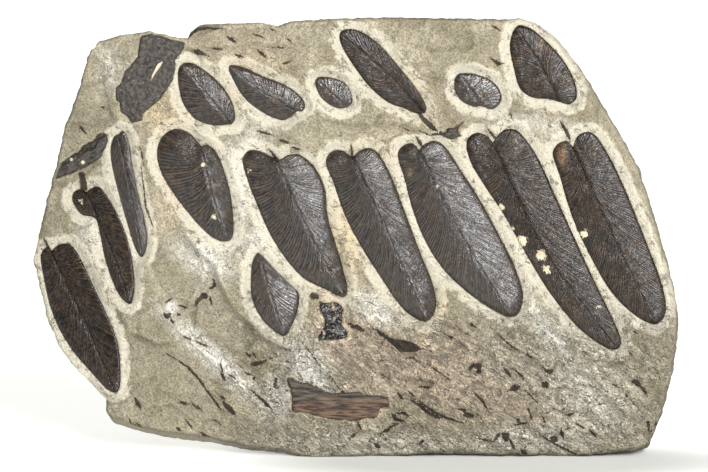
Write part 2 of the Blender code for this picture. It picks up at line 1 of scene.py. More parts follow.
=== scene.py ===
# %% [markdown]
# # A fossil fern plate, dressed for its portrait
# The real thing is a slab of mudstone, about 162 mm long and 109 mm high, that was split open on
# a layer of fallen seed-fern leaflets. Each leaflet is now a thin, glossy film of coal. Someone
# cleaned the stone away round each leaflet with a fine pen, which left a pale, sloping band.
#
# The solids of the plate are already made. They are loaded here as a fixed frame. This lesson
# gives the stone, the leaflets and the other remains their fine shape and their finish.

# %% Load the frame
import math

import bpy
import numpy as np
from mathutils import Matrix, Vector, noise


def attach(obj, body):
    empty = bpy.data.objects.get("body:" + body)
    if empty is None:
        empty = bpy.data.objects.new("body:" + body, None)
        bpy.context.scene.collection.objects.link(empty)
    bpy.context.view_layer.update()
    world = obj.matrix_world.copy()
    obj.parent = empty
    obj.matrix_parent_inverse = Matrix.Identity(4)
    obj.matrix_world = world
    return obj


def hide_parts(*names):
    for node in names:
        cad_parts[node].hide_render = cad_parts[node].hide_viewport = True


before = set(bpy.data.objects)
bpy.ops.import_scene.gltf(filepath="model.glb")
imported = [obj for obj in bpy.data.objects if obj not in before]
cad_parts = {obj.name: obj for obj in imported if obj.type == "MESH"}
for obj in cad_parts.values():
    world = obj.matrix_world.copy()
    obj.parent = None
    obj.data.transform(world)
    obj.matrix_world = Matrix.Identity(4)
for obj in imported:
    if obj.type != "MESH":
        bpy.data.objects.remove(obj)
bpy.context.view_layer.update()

MM = 0.001
print("frame nodes:", len(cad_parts))

# %% [markdown]
# ## The plane of the face
# The face of the plate leans back by 8 degrees, and every leaflet lies in it. It is easiest to
# draw on that plane: u runs right, v runs up the slope from the floor, and n stands out towards
# the viewer, all in millimetres. One function takes such a place to the standing plate.

# %% From the face to the standing plate
LEAN = math.radians(8.0)
FOOT_Y = -22.34
BACK_FOOT_Y = 22.86
BACK_SLOPE = -0.11
BACK_SCALE = (0.95, 0.93)
BACK_CENTRE = (1.0, 51.0)


def to_world(u, v, n):
    """World places in metres, one row each."""
    y = FOOT_Y + v * math.sin(LEAN) - n * math.cos(LEAN)
    z = v * math.cos(LEAN) + n * math.sin(LEAN)
    return np.stack([u + 0 * y, y, z], axis=-1) * MM


print("top of the face plane:", to_world(0, 110.5, 0).round(4))

# %% [markdown]
# ## Camera
# The photograph looks straight at the face, so the camera looks down by the same 8 degrees that
# the face leans back. A long lens from 1.4 m keeps the slab's sides from spreading. One pixel of
# the 708 by 472 frame is a quarter of a millimetre on the face.

# %% Camera
FRAME_WIDTH, FRAME_HEIGHT = 708, 472
MM_PER_PIXEL = 0.25
PIXEL_OF_U0, PIXEL_OF_V0 = 355, 459
CAMERA_REACH = 1400.0           # from the face, in mm
SENSOR_WIDTH = 36.0

centre_u = (FRAME_WIDTH / 2 - PIXEL_OF_U0) * MM_PER_PIXEL
centre_v = (PIXEL_OF_V0 - FRAME_HEIGHT / 2) * MM_PER_PIXEL
camera_data = bpy.data.cameras.new("camera")
camera = bpy.data.objects.new("camera", camera_data)
bpy.context.scene.collection.objects.link(camera)
camera_data.sensor_width = SENSOR_WIDTH
camera_data.lens = SENSOR_WIDTH * CAMERA_REACH / (FRAME_WIDTH * MM_PER_PIXEL)
camera_data.clip_end = 20.0
camera.location = to_world(centre_u, centre_v, CAMERA_REACH)
camera.rotation_euler = (math.radians(90) - LEAN, 0, 0)
bpy.context.scene.camera = camera
print("lens:", round(camera_data.lens, 1), "mm")

# %% [markdown]
# ## Floor and light
# The photograph was taken on white card under soft light from the upper right. A floor that
# curves up into a backdrop is a plane with its far edge extruded upwards. The card is lit so
# strongly there that it burns out to white, so here it has a painted glow, except for a painted
# shadow, a soft dark place in front of the foot, at the right, where the glow fades out. One
# soft box stands high at the right. A second, low one is where the right half of each leaflet
# mirrors it.

# %% Small tools for editing
def only(piece):
    """Selects one object alone and makes it active."""
    bpy.ops.object.select_all(action="DESELECT")
    piece.select_set(True)
    bpy.context.view_layer.objects.active = piece


def edit(kind, action):
    """Enters edit mode for one kind of element, with all of it selected or none."""
    bpy.ops.object.mode_set(mode="EDIT")
    bpy.ops.mesh.select_mode(type=kind)
    bpy.ops.mesh.select_all(action=action)


def leave_edit():
    bpy.ops.object.mode_set(mode="OBJECT")


def rgba(hex_colour):
    """An sRGB hex colour as linear RGB, with a full alpha."""
    parts = [int(hex_colour[k:k + 2], 16) / 255 for k in (1, 3, 5)]
    return (*(c / 12.92 if c <= 0.04045 else ((c + 0.055) / 1.055) ** 2.4 for c in parts), 1.0)


def add_node(tree, kind, inputs=None, **settings):
    """Adds a shader node, sets it, fills or links its inputs, and returns its first output."""
    made = tree.nodes.new("ShaderNode" + kind)
    for name, value in settings.items():
        setattr(made, name, value)
    for socket, value in (inputs or {}).items():
        if isinstance(value, bpy.types.NodeSocket):
            tree.links.new(value, made.inputs[socket])
        elif isinstance(value, str):
            made.inputs[socket].default_value = rgba(value)
        else:
            made.inputs[socket].default_value = value
    return next((output for output in made.outputs if output.enabled), None)


print("orange in linear RGB:", [round(c, 3) for c in rgba("#ff8000")])

# %% Floor and backdrop
# the card's painted glow: none in its painted shadow, more near it, most far behind
SHADE_GLOW, FLOOR_GLOW, BACK_GLOW = 0.00, 0.78, 0.95    # in the shade, near it, and far behind
SHADE_PLACE, SHADE_SIZE = (0.036, -0.026), (0.064, 0.026)
CARD_SIZE, CARD_SHIFT = 6.0, 0.6
CARD_RISES = ((0.25, 0.5), (0.75, 0.35), (2.5, 0.15))   # each rise, and how far it goes back
bpy.ops.object.select_all(action="DESELECT")
bpy.ops.mesh.primitive_plane_add(size=CARD_SIZE, location=(0, CARD_SHIFT, 0))
floor = bpy.context.object
floor.name = "floor"
edit("EDGE", "DESELECT")
leave_edit()
far = max(v.co.y for v in floor.data.vertices)
for edge in floor.data.edges:
    edge.select = all(floor.data.vertices[k].co.y > far - 0.01 for k in edge.vertices)
bpy.ops.object.mode_set(mode="EDIT")
for rise, back in CARD_RISES:
    bpy.ops.mesh.extrude_region_move(TRANSFORM_OT_translate={"value": (0, back, rise)})
leave_edit()
bpy.ops.object.transform_apply(location=True, rotation=True, scale=True)
floor.data.shade_smooth()
print("floor faces:", len(floor.data.polygons))

# %% White card
def white_card():
    """Matt white card with a painted glow, and a painted shadow: a soft dark place near the plate's
    foot.
    """
    card = bpy.data.materials.new("white card sweep")
    card.use_nodes = True
    tree = card.node_tree
    shader = tree.nodes["Principled BSDF"]
    shader.inputs["Base Color"].default_value = rgba("#c9cac6")
    shader.inputs["Roughness"].default_value = 0.9
    shader.inputs["Emission Color"].default_value = rgba("#fdfefb")
    place = add_node(tree, "TexCoord").node.outputs["Object"]
    back = add_node(tree, "SeparateXYZ", {0: place}).node.outputs["Y"]
    lit = add_node(tree, "MapRange", {"Value": back, "From Min": 0.0, "From Max": 0.7,
                                      "To Min": FLOOR_GLOW, "To Max": BACK_GLOW})
    # an oval in front of the plate's foot where the glow fades out, as a painted shadow
    shade = add_node(tree, "Mapping", {"Vector": place, "Location": (*SHADE_PLACE, 0),
                                       "Scale": (*SHADE_SIZE, 1)}, vector_type="TEXTURE")
    away = add_node(tree, "VectorMath", {0: shade}, operation="LENGTH").node.outputs["Value"]
    clear = add_node(tree, "MapRange", {"Value": away, "From Min": 0.55, "From Max": 1.5},
                     interpolation_type="SMOOTHSTEP")
    glow = add_node(tree, "MapRange", {"Value": clear, "To Min": SHADE_GLOW, "To Max": lit})
    tree.links.new(glow, shader.inputs["Emission Strength"])
    return card


floor.data.materials.append(white_card())
print("card:", floor.data.materials[0].name)

# %% Lights
PLATE_MIDDLE = (0, 0, 0.055)
LIGHTS = [       # name, place, size in metres, power in watts
    ("overhead", (0.66, -0.86, 0.80), 0.5, 11.0), ("gloss", (0.36, -1.105, 0.515), 0.34, 16.0),
]
ROOM_LIGHT = 0.28
for name, place, size, power in LIGHTS:
    data = bpy.data.lights.new(name, "AREA")
    data.shape = "SQUARE"
    data.size = size
    data.energy = power
    lamp = bpy.data.objects.new(name, data)
    lamp.location = place
    lamp.rotation_euler = (Vector(PLATE_MIDDLE) - Vector(place)).to_track_quat("-Z", "Y").to_euler()
    bpy.context.scene.collection.objects.link(lamp)
world = bpy.data.worlds.new("pale room")
world.use_nodes = True
world.node_tree.nodes["Background"].inputs["Color"].default_value = rgba("#fbfcfa")
world.node_tree.nodes["Background"].inputs["Strength"].default_value = ROOM_LIGHT
bpy.context.scene.world = world
bpy.context.scene.view_settings.view_transform = "Standard"
print("lights:", [name for name, *rest in LIGHTS])

# %% [markdown]
# ## Drawing on the face
# Outlines are short lists of places, rounded into smooth curves. A distance to such a curve is
# the most useful tool here: it shapes the cleaned band round a leaflet, and it also colours it.

# %% Curves
def along(points, share):
    """Places at the given shares of a polyline's length."""
    points = np.asarray(points, float)
    steps = np.hypot(*np.diff(points, axis=0).T)
    reach = np.concatenate([[0], np.cumsum(steps)]) / steps.sum()
    return np.stack([np.interp(share, reach, points[:, k]) for k in (0, 1)], axis=-1)


CURVE_STEPS = 12
FAR = 6.0                       # distances past this one don't matter


def rounded(points, count=CURVE_STEPS):
    """A smooth curve through the points (Catmull-Rom), as a dense polyline."""
    points = np.asarray(points, float)
    first = 2 * points[0] - points[1]
    last = 2 * points[-1] - points[-2]
    pegs = np.vstack([first, points, last])
    t = np.linspace(0, 1, count, endpoint=False)[:, None]
    runs = []
    for a, b, c, d in zip(pegs, pegs[1:], pegs[2:], pegs[3:]):
        runs.append(0.5 * (2 * b + (c - a) * t + (2 * a - 5 * b + 4 * c - d) * t ** 2
                           + (3 * b - a - 3 * c + d) * t ** 3))
    return np.vstack(runs + [points[-1:]])


def ease(x):
    """A smooth rise from 0 to 1."""
    x = np.clip(x, 0, 1)
    return x * x * (3 - 2 * x)


def dome(away, width):
    """A round rise from 0 at an edge to 1 at some width from it."""
    return 1 - (1 - np.clip(away / width, 0, 1)) ** 2


def oval(u, v, centre, size, turn):
    """The squared distance to an oval's centre, which is 1 on the oval itself."""
    a = math.radians(turn)
    x = ((u - centre[0]) * math.cos(a) + (v - centre[1]) * math.sin(a)) / size[0]
    y = (-(u - centre[0]) * math.sin(a) + (v - centre[1]) * math.cos(a)) / size[1]
    return x * x + y * y


print("halfway up a rise:", ease(0.5), "and a dome:", dome(0.5, 1.0))

# %% Distances
def near_path(u, v, path):
    """Distance to a polyline, which side a place is on, and how far along it lies."""
    path = np.asarray(path, float)
    best = np.full(np.shape(u), 1e9)
    side = np.zeros(np.shape(u))
    share = np.zeros(np.shape(u))
    count = len(path) - 1
    for k in range(count):
        (ax, ay), (bx, by) = path[k], path[k + 1]
        dx, dy = bx - ax, by - ay
        t = np.clip(((u - ax) * dx + (v - ay) * dy) / (dx * dx + dy * dy + 1e-9), 0, 1)
        away = np.hypot(u - ax - t * dx, v - ay - t * dy)
        closer = away < best
        best = np.where(closer, away, best)
        side = np.where(closer, np.sign(dy * (u - ax) - dx * (v - ay)), side)
        share = np.where(closer, (k + t) / count, share)
    return best, side, share


def inside(u, v, outline):
    """Whether places lie inside a closed outline."""
    outline = np.asarray(outline, float)
    crossed = np.zeros(np.shape(u), bool)
    for (ax, ay), (bx, by) in zip(outline, np.roll(outline, -1, axis=0)):
        spans = (ay > v) != (by > v)
        with np.errstate(divide="ignore", invalid="ignore"):
            at = ax + (v - ay) * (bx - ax) / (by - ay)
        crossed ^= spans & (u < at)
    return crossed


def signed_distance(u, v, outline, reach):
    """Distance to a closed outline, minus inside it; places beyond reach keep the reach."""
    outline = np.asarray(outline, float)
    low, high = outline.min(axis=0) - reach, outline.max(axis=0) + reach
    close = (u > low[0]) & (u < high[0]) & (v > low[1]) & (v < high[1])
    result = np.full(np.shape(u), float(reach))
    loop = np.vstack([outline, outline[:1]])
    away = near_path(u[close], v[close], loop)[0]
    result[close] = np.minimum(np.where(inside(u[close], v[close], outline), -away, away), reach)
    return result


print("from a place to a line:", near_path(3.0, 4.0, [(0, 0), (0, 9)])[0])

# %% Roughness
def rough(u, v, size, seed):
    """Smooth lumpy noise, about one lump in each size."""
    places = zip(np.ravel(u), np.ravel(v))
    values = [noise.noise(Vector((a / size, b / size, seed))) for a, b in places]
    return np.reshape(values, np.shape(u))


FACET_SHARPNESS = 16


def terraced(height, step):
    """Turns a smooth height into flat treads with short risers, as split bedding breaks."""
    tread = np.floor(height / step)
    rise = height / step - tread
    return (tread + ease((rise - 0.7) / 0.3)) * step


def facets(u, v, size, seed, tilt):
    """Small flat facets, as stone chips: every cell of a random pattern is a plane of its own."""
    cells = np.random.default_rng(seed).uniform(-1, 1, (64, 64, 5))
    x, y = u / size, v / size
    column, row = np.floor(x), np.floor(y)
    total, weight = 0, 0
    for i in (-1, 0, 1):
        for j in (-1, 0, 1):
            cell = cells[(column + i).astype(int) % 64, (row + j).astype(int) % 64]
            dx = x - (column + i + 0.5 + 0.45 * cell[..., 0])
            dy = y - (row + j + 0.5 + 0.45 * cell[..., 1])
            share = np.exp(-FACET_SHARPNESS * (dx * dx + dy * dy))
            plane = tilt * size * (dx * cell[..., 2] + dy * cell[..., 3] + 0.3 * cell[..., 4])
            total = total + share * plane
            weight = weight + share
    return total / weight


print("noise at the middle:", rough(np.array([0.0]), np.array([55.0]), 11.0, 3.0).round(3))

# %% [markdown]
# ## What lies where
# These are the same outlines that the solids have: the four sides of the stone, the leaflets
# with their base, tip and two margins, and the other remains. They were read off the photograph,
# and are in millimetres on the face.

# %% Outline and form of the stone
TOP_SIDE = [(-66.25, 102.25), (-63.75, 104.5), (-58.75, 106), (-51.25, 107), (-44.25, 105.25),
            (-41.75, 105.25), (-41.25, 106.5), (-38.75, 108.5), (-31.25, 109), (-23.25, 109.25),
            (-19.5, 108.25), (-16.25, 109.5), (-1.25, 110.25), (8.75, 110.5), (23.75, 110.25),
            (37.5, 110), (41.25, 110.25), (45, 109.25), (47.5, 108)]
RIGHT_SIDE = [(74, 3.5), (77, 11), (79.6, 21), (80.9, 29.75), (81.15, 36), (79.65, 44.75),
              (76.6, 56), (73.95, 64.75), (71.35, 72.75), (66.25, 81.75), (61.25, 90.25),
              (56.25, 98.25), (51.25, 104.75), (47.5, 108)]
LEFT_SIDE = [(-62.75, 12.25), (-62.25, 15.25), (-64.9, 17.4), (-70.4, 22.9), (-74.5, 28.2),
             (-77.4, 34.75), (-79.9, 44.75), (-81.15, 49.75), (-79.9, 54.75), (-77.7, 64.75),
             (-75.15, 73.5), (-73.5, 81), (-69.6, 91.75), (-66.25, 102.25)]
BOTTOM_SIDE = [(-62.75, 12.25), (-61.25, 10.25), (-54.25, 8), (-47.5, 6.5), (-36.75, 5.25),
               (-26.25, 2.75), (-18.75, 2), (-13.75, 0.25), (-6.25, 0), (2.75, 0.75), (7.5, 0.25),
               (18.75, 1.5), (31.25, 1), (43.75, 1), (53.75, 0.5), (61.25, 1.25), (71.25, 2.5),
               (74, 3.5)]
CREASE_V = [0, 16, 47, 65, 82, 103]
CREASE_U = [-57, -57.5, -56.25, -52.5, -56.25, -65.5]
FACET_TURN = math.tan(math.radians(24))
print("points round the stone:", len(TOP_SIDE + RIGHT_SIDE + LEFT_SIDE + BOTTOM_SIDE))

# %% Lumps and ledges of the stone
LUMPS = [        # centre, half sizes, turn in degrees, height
    ((-48.5, 47.0), (6.5, 10.0), -12, 1.0),
    ((-14.5, 100.0), (9.0, 4.5), 0, 1.5),
    ((-13.0, 81.5), (5.0, 4.5), 20, 1.4),
    ((-24.0, 15.0), (16.0, 2.8), -35, 0.9),
    ((-10.5, 22.5), (6.0, 6.0), -60, 0.6),
    ((-58.0, 11.5), (6.0, 4.0), 0, 2.0),
    ((-50.0, 22.0), (9.0, 7.0), -20, -0.9),
    ((30.0, 24.0), (17.0, 6.0), 12, 1.0),
    ((52.0, 13.0), (14.0, 5.0), 8, 1.0),
    ((12.0, 26.0), (7.0, 4.0), -25, -0.8),
    ((3.0, 84.0), (7.0, 3.0), 0, -0.9),
    ((62.0, 22.0), (7.0, 6.0), 30, -1.1),
    ((30.0, 102.0), (9.0, 5.0), 0, 0.9),
    ((-59.5, 101.0), (5.0, 3.2), -25, -0.9),
    ((-59.3, 35.3), (1.6, 2.6), 15, -1.3),
    ((33.0, 12.0), (4.0, 3.0), 0, -0.9),
    ((26.0, 9.0), (3.0, 5.0), 20, 0.6),
    ((-6.0, 24.0), (5.0, 4.0), -30, 0.5),
]
LEDGES = [       # path, drop on its lower side, how wide the slope is, how far the drop reaches
    ([(-45.75, 61), (-41.25, 54.75), (-37.25, 50.75), (-34.75, 48.75), (-33.25, 43.5),
      (-30, 37.75), (-23.25, 31), (-16.25, 27.75), (-13.75, 27.25)], 2.2, 1.2, 16.0),
    ([(-42.25, 56.75), (-38, 50.75), (-37.5, 47.25), (-39.25, 42.25), (-41.75, 37.75),
      (-44.75, 35.25)], 1.3, 1.3, 12.0),
    ([(-14.75, 29.75), (-12.5, 27.25), (-9.25, 24.25), (-6.25, 20.75), (-3.75, 17.25)],
     0.8, 0.7, 9.0),
    ([(1.5, 35), (5.5, 31.5), (10.5, 27.5), (16.5, 26.5), (23, 28), (29, 33)], 0.9, 0.8, 10.0),
    ([(-3, 41.5), (-0.75, 37.5), (0, 33.5), (1.75, 32.75)], 1.3, 0.8, 9.0),
    ([(-66.25, 102.75), (-61.25, 98.25), (-59.5, 94.75), (-61, 89)], 0.9, 0.8, 8.0),
    ([(9, 20), (22, 23), (40, 16), (58, 20)], 0.8, 0.9, 8.0),
    ([(20, 8), (36, 10), (52, 6)], 0.8, 0.8, 6.0),
    ([(30, 32), (36, 25), (45, 20), (56, 12)], 0.7, 1.0, 8.0),
]
FINE_LEDGES = [  # the same, for thin broken beds
    ([(-52, 39.75), (-47, 34.75), (-41.25, 29.75), (-36.25, 24.75), (-30.5, 19.75), (-23, 13),
      (-17, 10.5)], 0.8, 0.25, 6.0),
    ([(-17, 12.25), (-26.25, 15.5), (-28.75, 20.5), (-34.5, 27.25), (-40.5, 32.25), (-42, 38)],
     0.5, 0.25, 3.0),
    ([(-26.25, 34.75), (-24.5, 29.75), (-26.25, 26.5)], 0.6, 0.3, 4.0),
    ([(-66, 101.5), (-62.5, 98), (-62, 92), (-60, 84)], 0.5, 0.3, 5.0),
    ([(-73, 85), (-66, 84), (-60, 87)], 0.5, 0.3, 5.0),
    ([(-72, 70), (-66, 70.5), (-61.5, 74)], 0.6, 0.3, 4.0),
    ([(-57, 15), (-52, 13), (-46, 14), (-38, 8)], 0.5, 0.25, 4.0),
    ([(-14, 84), (-8, 85.5), (0, 84), (9, 84.5), (18, 82.5), (30, 84), (46, 86)], 0.5, 0.3, 3.0),
    ([(-40, 104), (-34, 103), (-26, 104.5), (-14, 104)], 0.5, 0.3, 4.0),
    ([(3, 84), (9, 88), (15, 85.5)], 0.4, 0.3, 3.0),
    ([(36, 88), (44, 87.5), (56, 86), (63, 83)], 0.5, 0.3, 4.0),
    ([(6, 104), (14, 98), (22, 96), (30, 99)], 0.4, 0.3, 4.0),
    ([(18, 31), (24, 27), (31, 21), (34, 15)], 0.6, 0.25, 5.0),
    ([(26, 30), (34, 24), (41, 16), (44, 9)], 0.5, 0.25, 4.0),
    ([(40, 29), (48, 22), (58, 14), (64, 6)], 0.5, 0.25, 5.0),
    ([(54, 24), (62, 18), (70, 9)], 0.5, 0.25, 5.0),
    ([(66, 30), (72, 24), (76, 18)], 0.5, 0.25, 4.0),
    ([(10, 18), (18, 14), (26, 8)], 0.6, 0.25, 5.0),
    ([(-4, 8), (6, 7), (16, 9), (24, 4)], 0.5, 0.25, 4.0),
    ([(2, 26), (8, 24), (14, 20), (20, 19)], 0.6, 0.25, 4.0),
]
print("lumps:", len(LUMPS), "ledges:", len(LEDGES) + len(FINE_LEDGES))

# %% Height of the face without its fine relief
LOW_FACET = [(-51, 38.5), (-43, 29.5), (-34.5, 24.5), (-24.5, 17.5), (-15, 8.5), (-10, 2)]
LOW_TURN = math.tan(math.radians(9))
CREASE_ROUND = 3.0                      # how softly the left facet turns away, in mm
RIGHT_FALL, RIGHT_WIDTH = 4.5, 4.0      # how far the right side rounds back, over what width
TOP_FALL, TOP_WIDTH = 1.6, 3.0
FOOT_FALL, FOOT_HEIGHT = 0.10, 9.0


def broad_height(u, v):
    """The large form of the face: the turned left facet, the rounded right side, the foot."""
    crease = np.interp(v, CREASE_V, CREASE_U) - u
    turned = 0.5 * (crease + np.hypot(crease, CREASE_ROUND)) * FACET_TURN
    right_edge = np.interp(v, [p[1] for p in RIGHT_SIDE], [p[0] for p in RIGHT_SIDE]) - u
    rounded_side = RIGHT_FALL * np.clip(1 - right_edge / RIGHT_WIDTH, 0, 1.3) ** 2
    top_edge = np.interp(u, [p[0] for p in TOP_SIDE], [p[1] for p in TOP_SIDE]) - v
    rounded_top = TOP_FALL * np.clip(1 - top_edge / TOP_WIDTH, 0, 1.3) ** 2 * ease((u + 10) / 30)
    foot = FOOT_FALL * np.clip(FOOT_HEIGHT - v, 0, FOOT_HEIGHT) ** 1.6
    return -turned - rounded_side - rounded_top - foot


def lump_height(u, v):
    return sum(height * np.exp(-oval(u, v, centre, size, turn)) for centre, size, turn, height in LUMPS)


def ledge_height(u, v, ledges):
    """How far the stone has fallen away on the right hand of each ledge's path."""
    total = np.zeros(np.shape(u))
    for path, drop, slope, reach in ledges:
        away, side, share = near_path(u, v, path)
        ends = ease(share / 0.15) * ease((1 - share) / 0.15)
        fall = np.where(side > 0, (1 - np.exp(-away / slope)) * ease(1 - away / reach), 0)
        total = total - drop * fall * ends
    return total


def plain_height(u, v):
    """The face with its lumps and ledges, before the fine relief and the cleaned bands."""
    away, side, share = near_path(u, v, LOW_FACET)
    turned = np.where(side > 0, away * LOW_TURN * ease(share / 0.1) * ease((1 - share) / 0.1), 0)
    return broad_height(u, v) + lump_height(u, v) + ledge_height(u, v, LEDGES) - turned


print("face at the middle:", broad_height(np.array([0.0]), np.array([55.0])).round(2), "mm")

# %% Leaflets, with base, tip, bow of the midrib and the two margins
LEAFLETS = {
    "leaflet_middle_1": dict(base=(-38.5, 78.25), tip=(-31.75, 54.5), bow=-0.6,
        left=[(-41.25, 81.25), (-45, 82.5), (-48.25, 80.5), (-49.5, 76), (-47.5, 69.75),
              (-41.25, 61), (-35.75, 55.5)],
        right=[(-36.75, 78.5), (-34.75, 76.75), (-33, 72.75), (-31.25, 66.75), (-30.5, 61),
               (-30.5, 56.25)]),
    "leaflet_middle_2": dict(base=(-20, 75.25), tip=(-2.75, 40.5), bow=-0.5,
        left=[(-21.25, 75.75), (-23.25, 76.75), (-26.25, 77.25), (-28, 75.25), (-27.5, 71.75),
              (-24.75, 64.25), (-20.25, 54.5), (-13.75, 46), (-7, 42.25)],
        right=[(-18.5, 75), (-16.75, 76), (-13.75, 76), (-10, 72.75), (-7.5, 67.25),
               (-6.75, 60.25), (-3.75, 50.25), (-2, 43.25)]),
    "leaflet_middle_3": dict(base=(-0.5, 75.5), tip=(18.25, 34.5), bow=0.0,
        left=[(-1.75, 76.25), (-3.75, 77.25), (-6, 76.75), (-7.25, 74), (-5.25, 68.75),
              (-2.5, 61), (1.5, 53.25), (6.25, 45.75), (11.25, 38.5), (15, 35.25)],
        right=[(0.75, 76.75), (3, 77.75), (5.75, 76.5), (9, 70.75), (12.5, 61.75),
               (16.25, 51.75), (19.5, 43.5), (20.25, 38)]),
    "leaflet_middle_4": dict(base=(16, 77.25), tip=(39.25, 35.5), bow=-1.0,
        left=[(14.5, 78.75), (12.25, 78.5), (10.75, 76), (12.5, 69.75), (14.5, 62.25),
              (17.5, 54.75), (22.25, 47.25), (28.75, 41.25), (35, 37)],
        right=[(17.5, 78.75), (20, 79.5), (22.75, 77.75), (26.75, 71.75), (31.25, 64.75),
               (35.75, 56.5), (39.75, 48.5), (42, 41.5), (41.25, 37)]),
    "leaflet_middle_5": dict(base=(34.5, 79), tip=(65.5, 27.5), bow=-2.6,
        left=[(33, 80.75), (30.25, 81.5), (28, 79.5), (28.75, 74.75), (32.5, 68.25),
              (37.5, 60.75), (43.25, 50.5), (49, 41.25), (55.5, 33.25), (62, 28.25)],
        right=[(36, 81.25), (38.25, 82.5), (41.25, 81.5), (45.75, 75.25), (50.25, 65.5),
               (54.75, 55.75), (59.75, 44.75), (64.25, 35.5), (66.5, 29.75)]),
    "leaflet_middle_6": dict(base=(54.5, 78), tip=(75.25, 33.75), bow=-0.3,
        left=[(53, 79.5), (50.75, 78.75), (49.5, 76.25), (51.25, 70.75), (54.5, 60.25),
              (58.75, 51), (64, 42), (70, 36)],
        right=[(55.75, 80.75), (58.25, 81.75), (60.75, 80.25), (64.75, 73.5), (69, 64),
               (73.25, 53.25), (76.75, 43.75), (77.75, 37)]),
    "leaflet_upper_1": dict(base=(-30.75, 83.75), tip=(-43.25, 98.75), bow=0.0,
        left=[(-35.5, 83.5), (-39.75, 85), (-42.75, 88.5), (-44, 92.75), (-44.25, 96.75)],
        right=[(-30, 85.5), (-30.75, 89), (-33.25, 93.25), (-36.75, 96.5), (-40.5, 98.9)]),
    "leaflet_upper_2": dict(base=(-14.5, 87), tip=(-31.5, 98.25), bow=-0.6,
        left=[(-16.25, 85.5), (-18, 84.75), (-21.25, 85.75), (-25, 88), (-28, 90.75),
              (-30.5, 95)],
        right=[(-13, 87.1), (-12.5, 88.75), (-14.25, 91.25), (-18, 93.75), (-23.25, 95.75),
               (-28, 98)]),
    "leaflet_upper_3": dict(base=(-2, 88), tip=(-9.75, 95), bow=0.0,
        left=[(-4.25, 87.75), (-7.25, 89.25), (-9.25, 91.75)],
        right=[(-0.75, 89), (-1, 91.5), (-3, 94.25), (-7, 95.5)]),
    "leaflet_upper_4": dict(base=(17.5, 86.5), tip=(-3.75, 106.5), bow=0.8,
        left=[(15.25, 86.5), (12.25, 87.75), (8.25, 89.25), (3.75, 93), (-0.25, 98.25),
              (-3.25, 103.25)],
        right=[(17.75, 88.25), (15.25, 92.75), (11, 98), (6.5, 103.25), (1.75, 106.75),
               (-1.5, 107.5)]),
    "leaflet_upper_5": dict(base=(31.75, 88.25), tip=(26.25, 96.4), bow=0.0,
        left=[(29.25, 88.25), (26.5, 89.75), (25, 92.25), (25, 95)],
        right=[(34.25, 87.5), (36.25, 89), (36.5, 91.5), (34.25, 94.5), (30, 96.25)]),
    "leaflet_upper_6": dict(base=(51.25, 89.25), tip=(40.25, 108), bow=0.6,
        left=[(48.5, 90), (44.25, 90.5), (41.25, 92.75), (39.75, 97.75), (38.75, 103.5)],
        right=[(53.75, 88.75), (55.5, 90.75), (54.5, 95.5), (51.5, 100.5), (47, 105.25),
               (43.25, 108)]),
    "leaflet_left_large": dict(base=(-76.5, 51.75), tip=(-60, 16.5), bow=0.4,
        left=[(-77.4, 52.75), (-78.6, 52.25), (-79.2, 50), (-78.4, 45.25), (-76.7, 38),
              (-74, 31.75), (-70.3, 26.2), (-66.1, 21.5), (-62.4, 17.6)],
        right=[(-75.5, 52.9), (-73.75, 53.75), (-71.25, 53.25), (-68.75, 49.5),
               (-65.75, 43.25), (-62.25, 36), (-59.5, 29), (-58.75, 21.75), (-59, 17.75)]),
    "leaflet_left_middle": dict(base=(-67.5, 66.75), tip=(-56.5, 38.75), bow=0.8,
        left=[(-69, 67.5), (-70.75, 66.75), (-71, 64.5), (-68.75, 61.25), (-65.25, 60.25),
              (-64, 56.5), (-62.5, 49.5), (-59.5, 41.75)],
        right=[(-66.25, 67.75), (-64.25, 68), (-61.75, 65), (-58.5, 59), (-56.25, 52),
               (-55.25, 44.75), (-55.5, 40.5)]),
    "leaflet_left_narrow": dict(base=(-59.25, 81.25), tip=(-53.25, 50.5), bow=0.3,
        left=[(-60.5, 80.5), (-61.25, 77.25), (-60.75, 72.75), (-59.25, 66.75),
              (-57.25, 59.75), (-55, 52.75)],
        right=[(-58, 82), (-56.75, 79.5), (-55.75, 73.5), (-54.25, 66), (-52.75, 60),
               (-52, 54.25)]),
    "leaflet_centre_small": dict(base=(-24.25, 51.75), tip=(-17.75, 30.75), bow=0.0,
        left=[(-25.5, 49.75), (-26, 45.25), (-25.75, 40.25), (-23.75, 35.75),
              (-20.75, 32.5)],
        right=[(-22, 49.5), (-18.5, 45.75), (-15, 42.5), (-14, 40.75), (-14.5, 36.75),
               (-16, 33)]),
}
print("leaflets:", len(LEAFLETS))

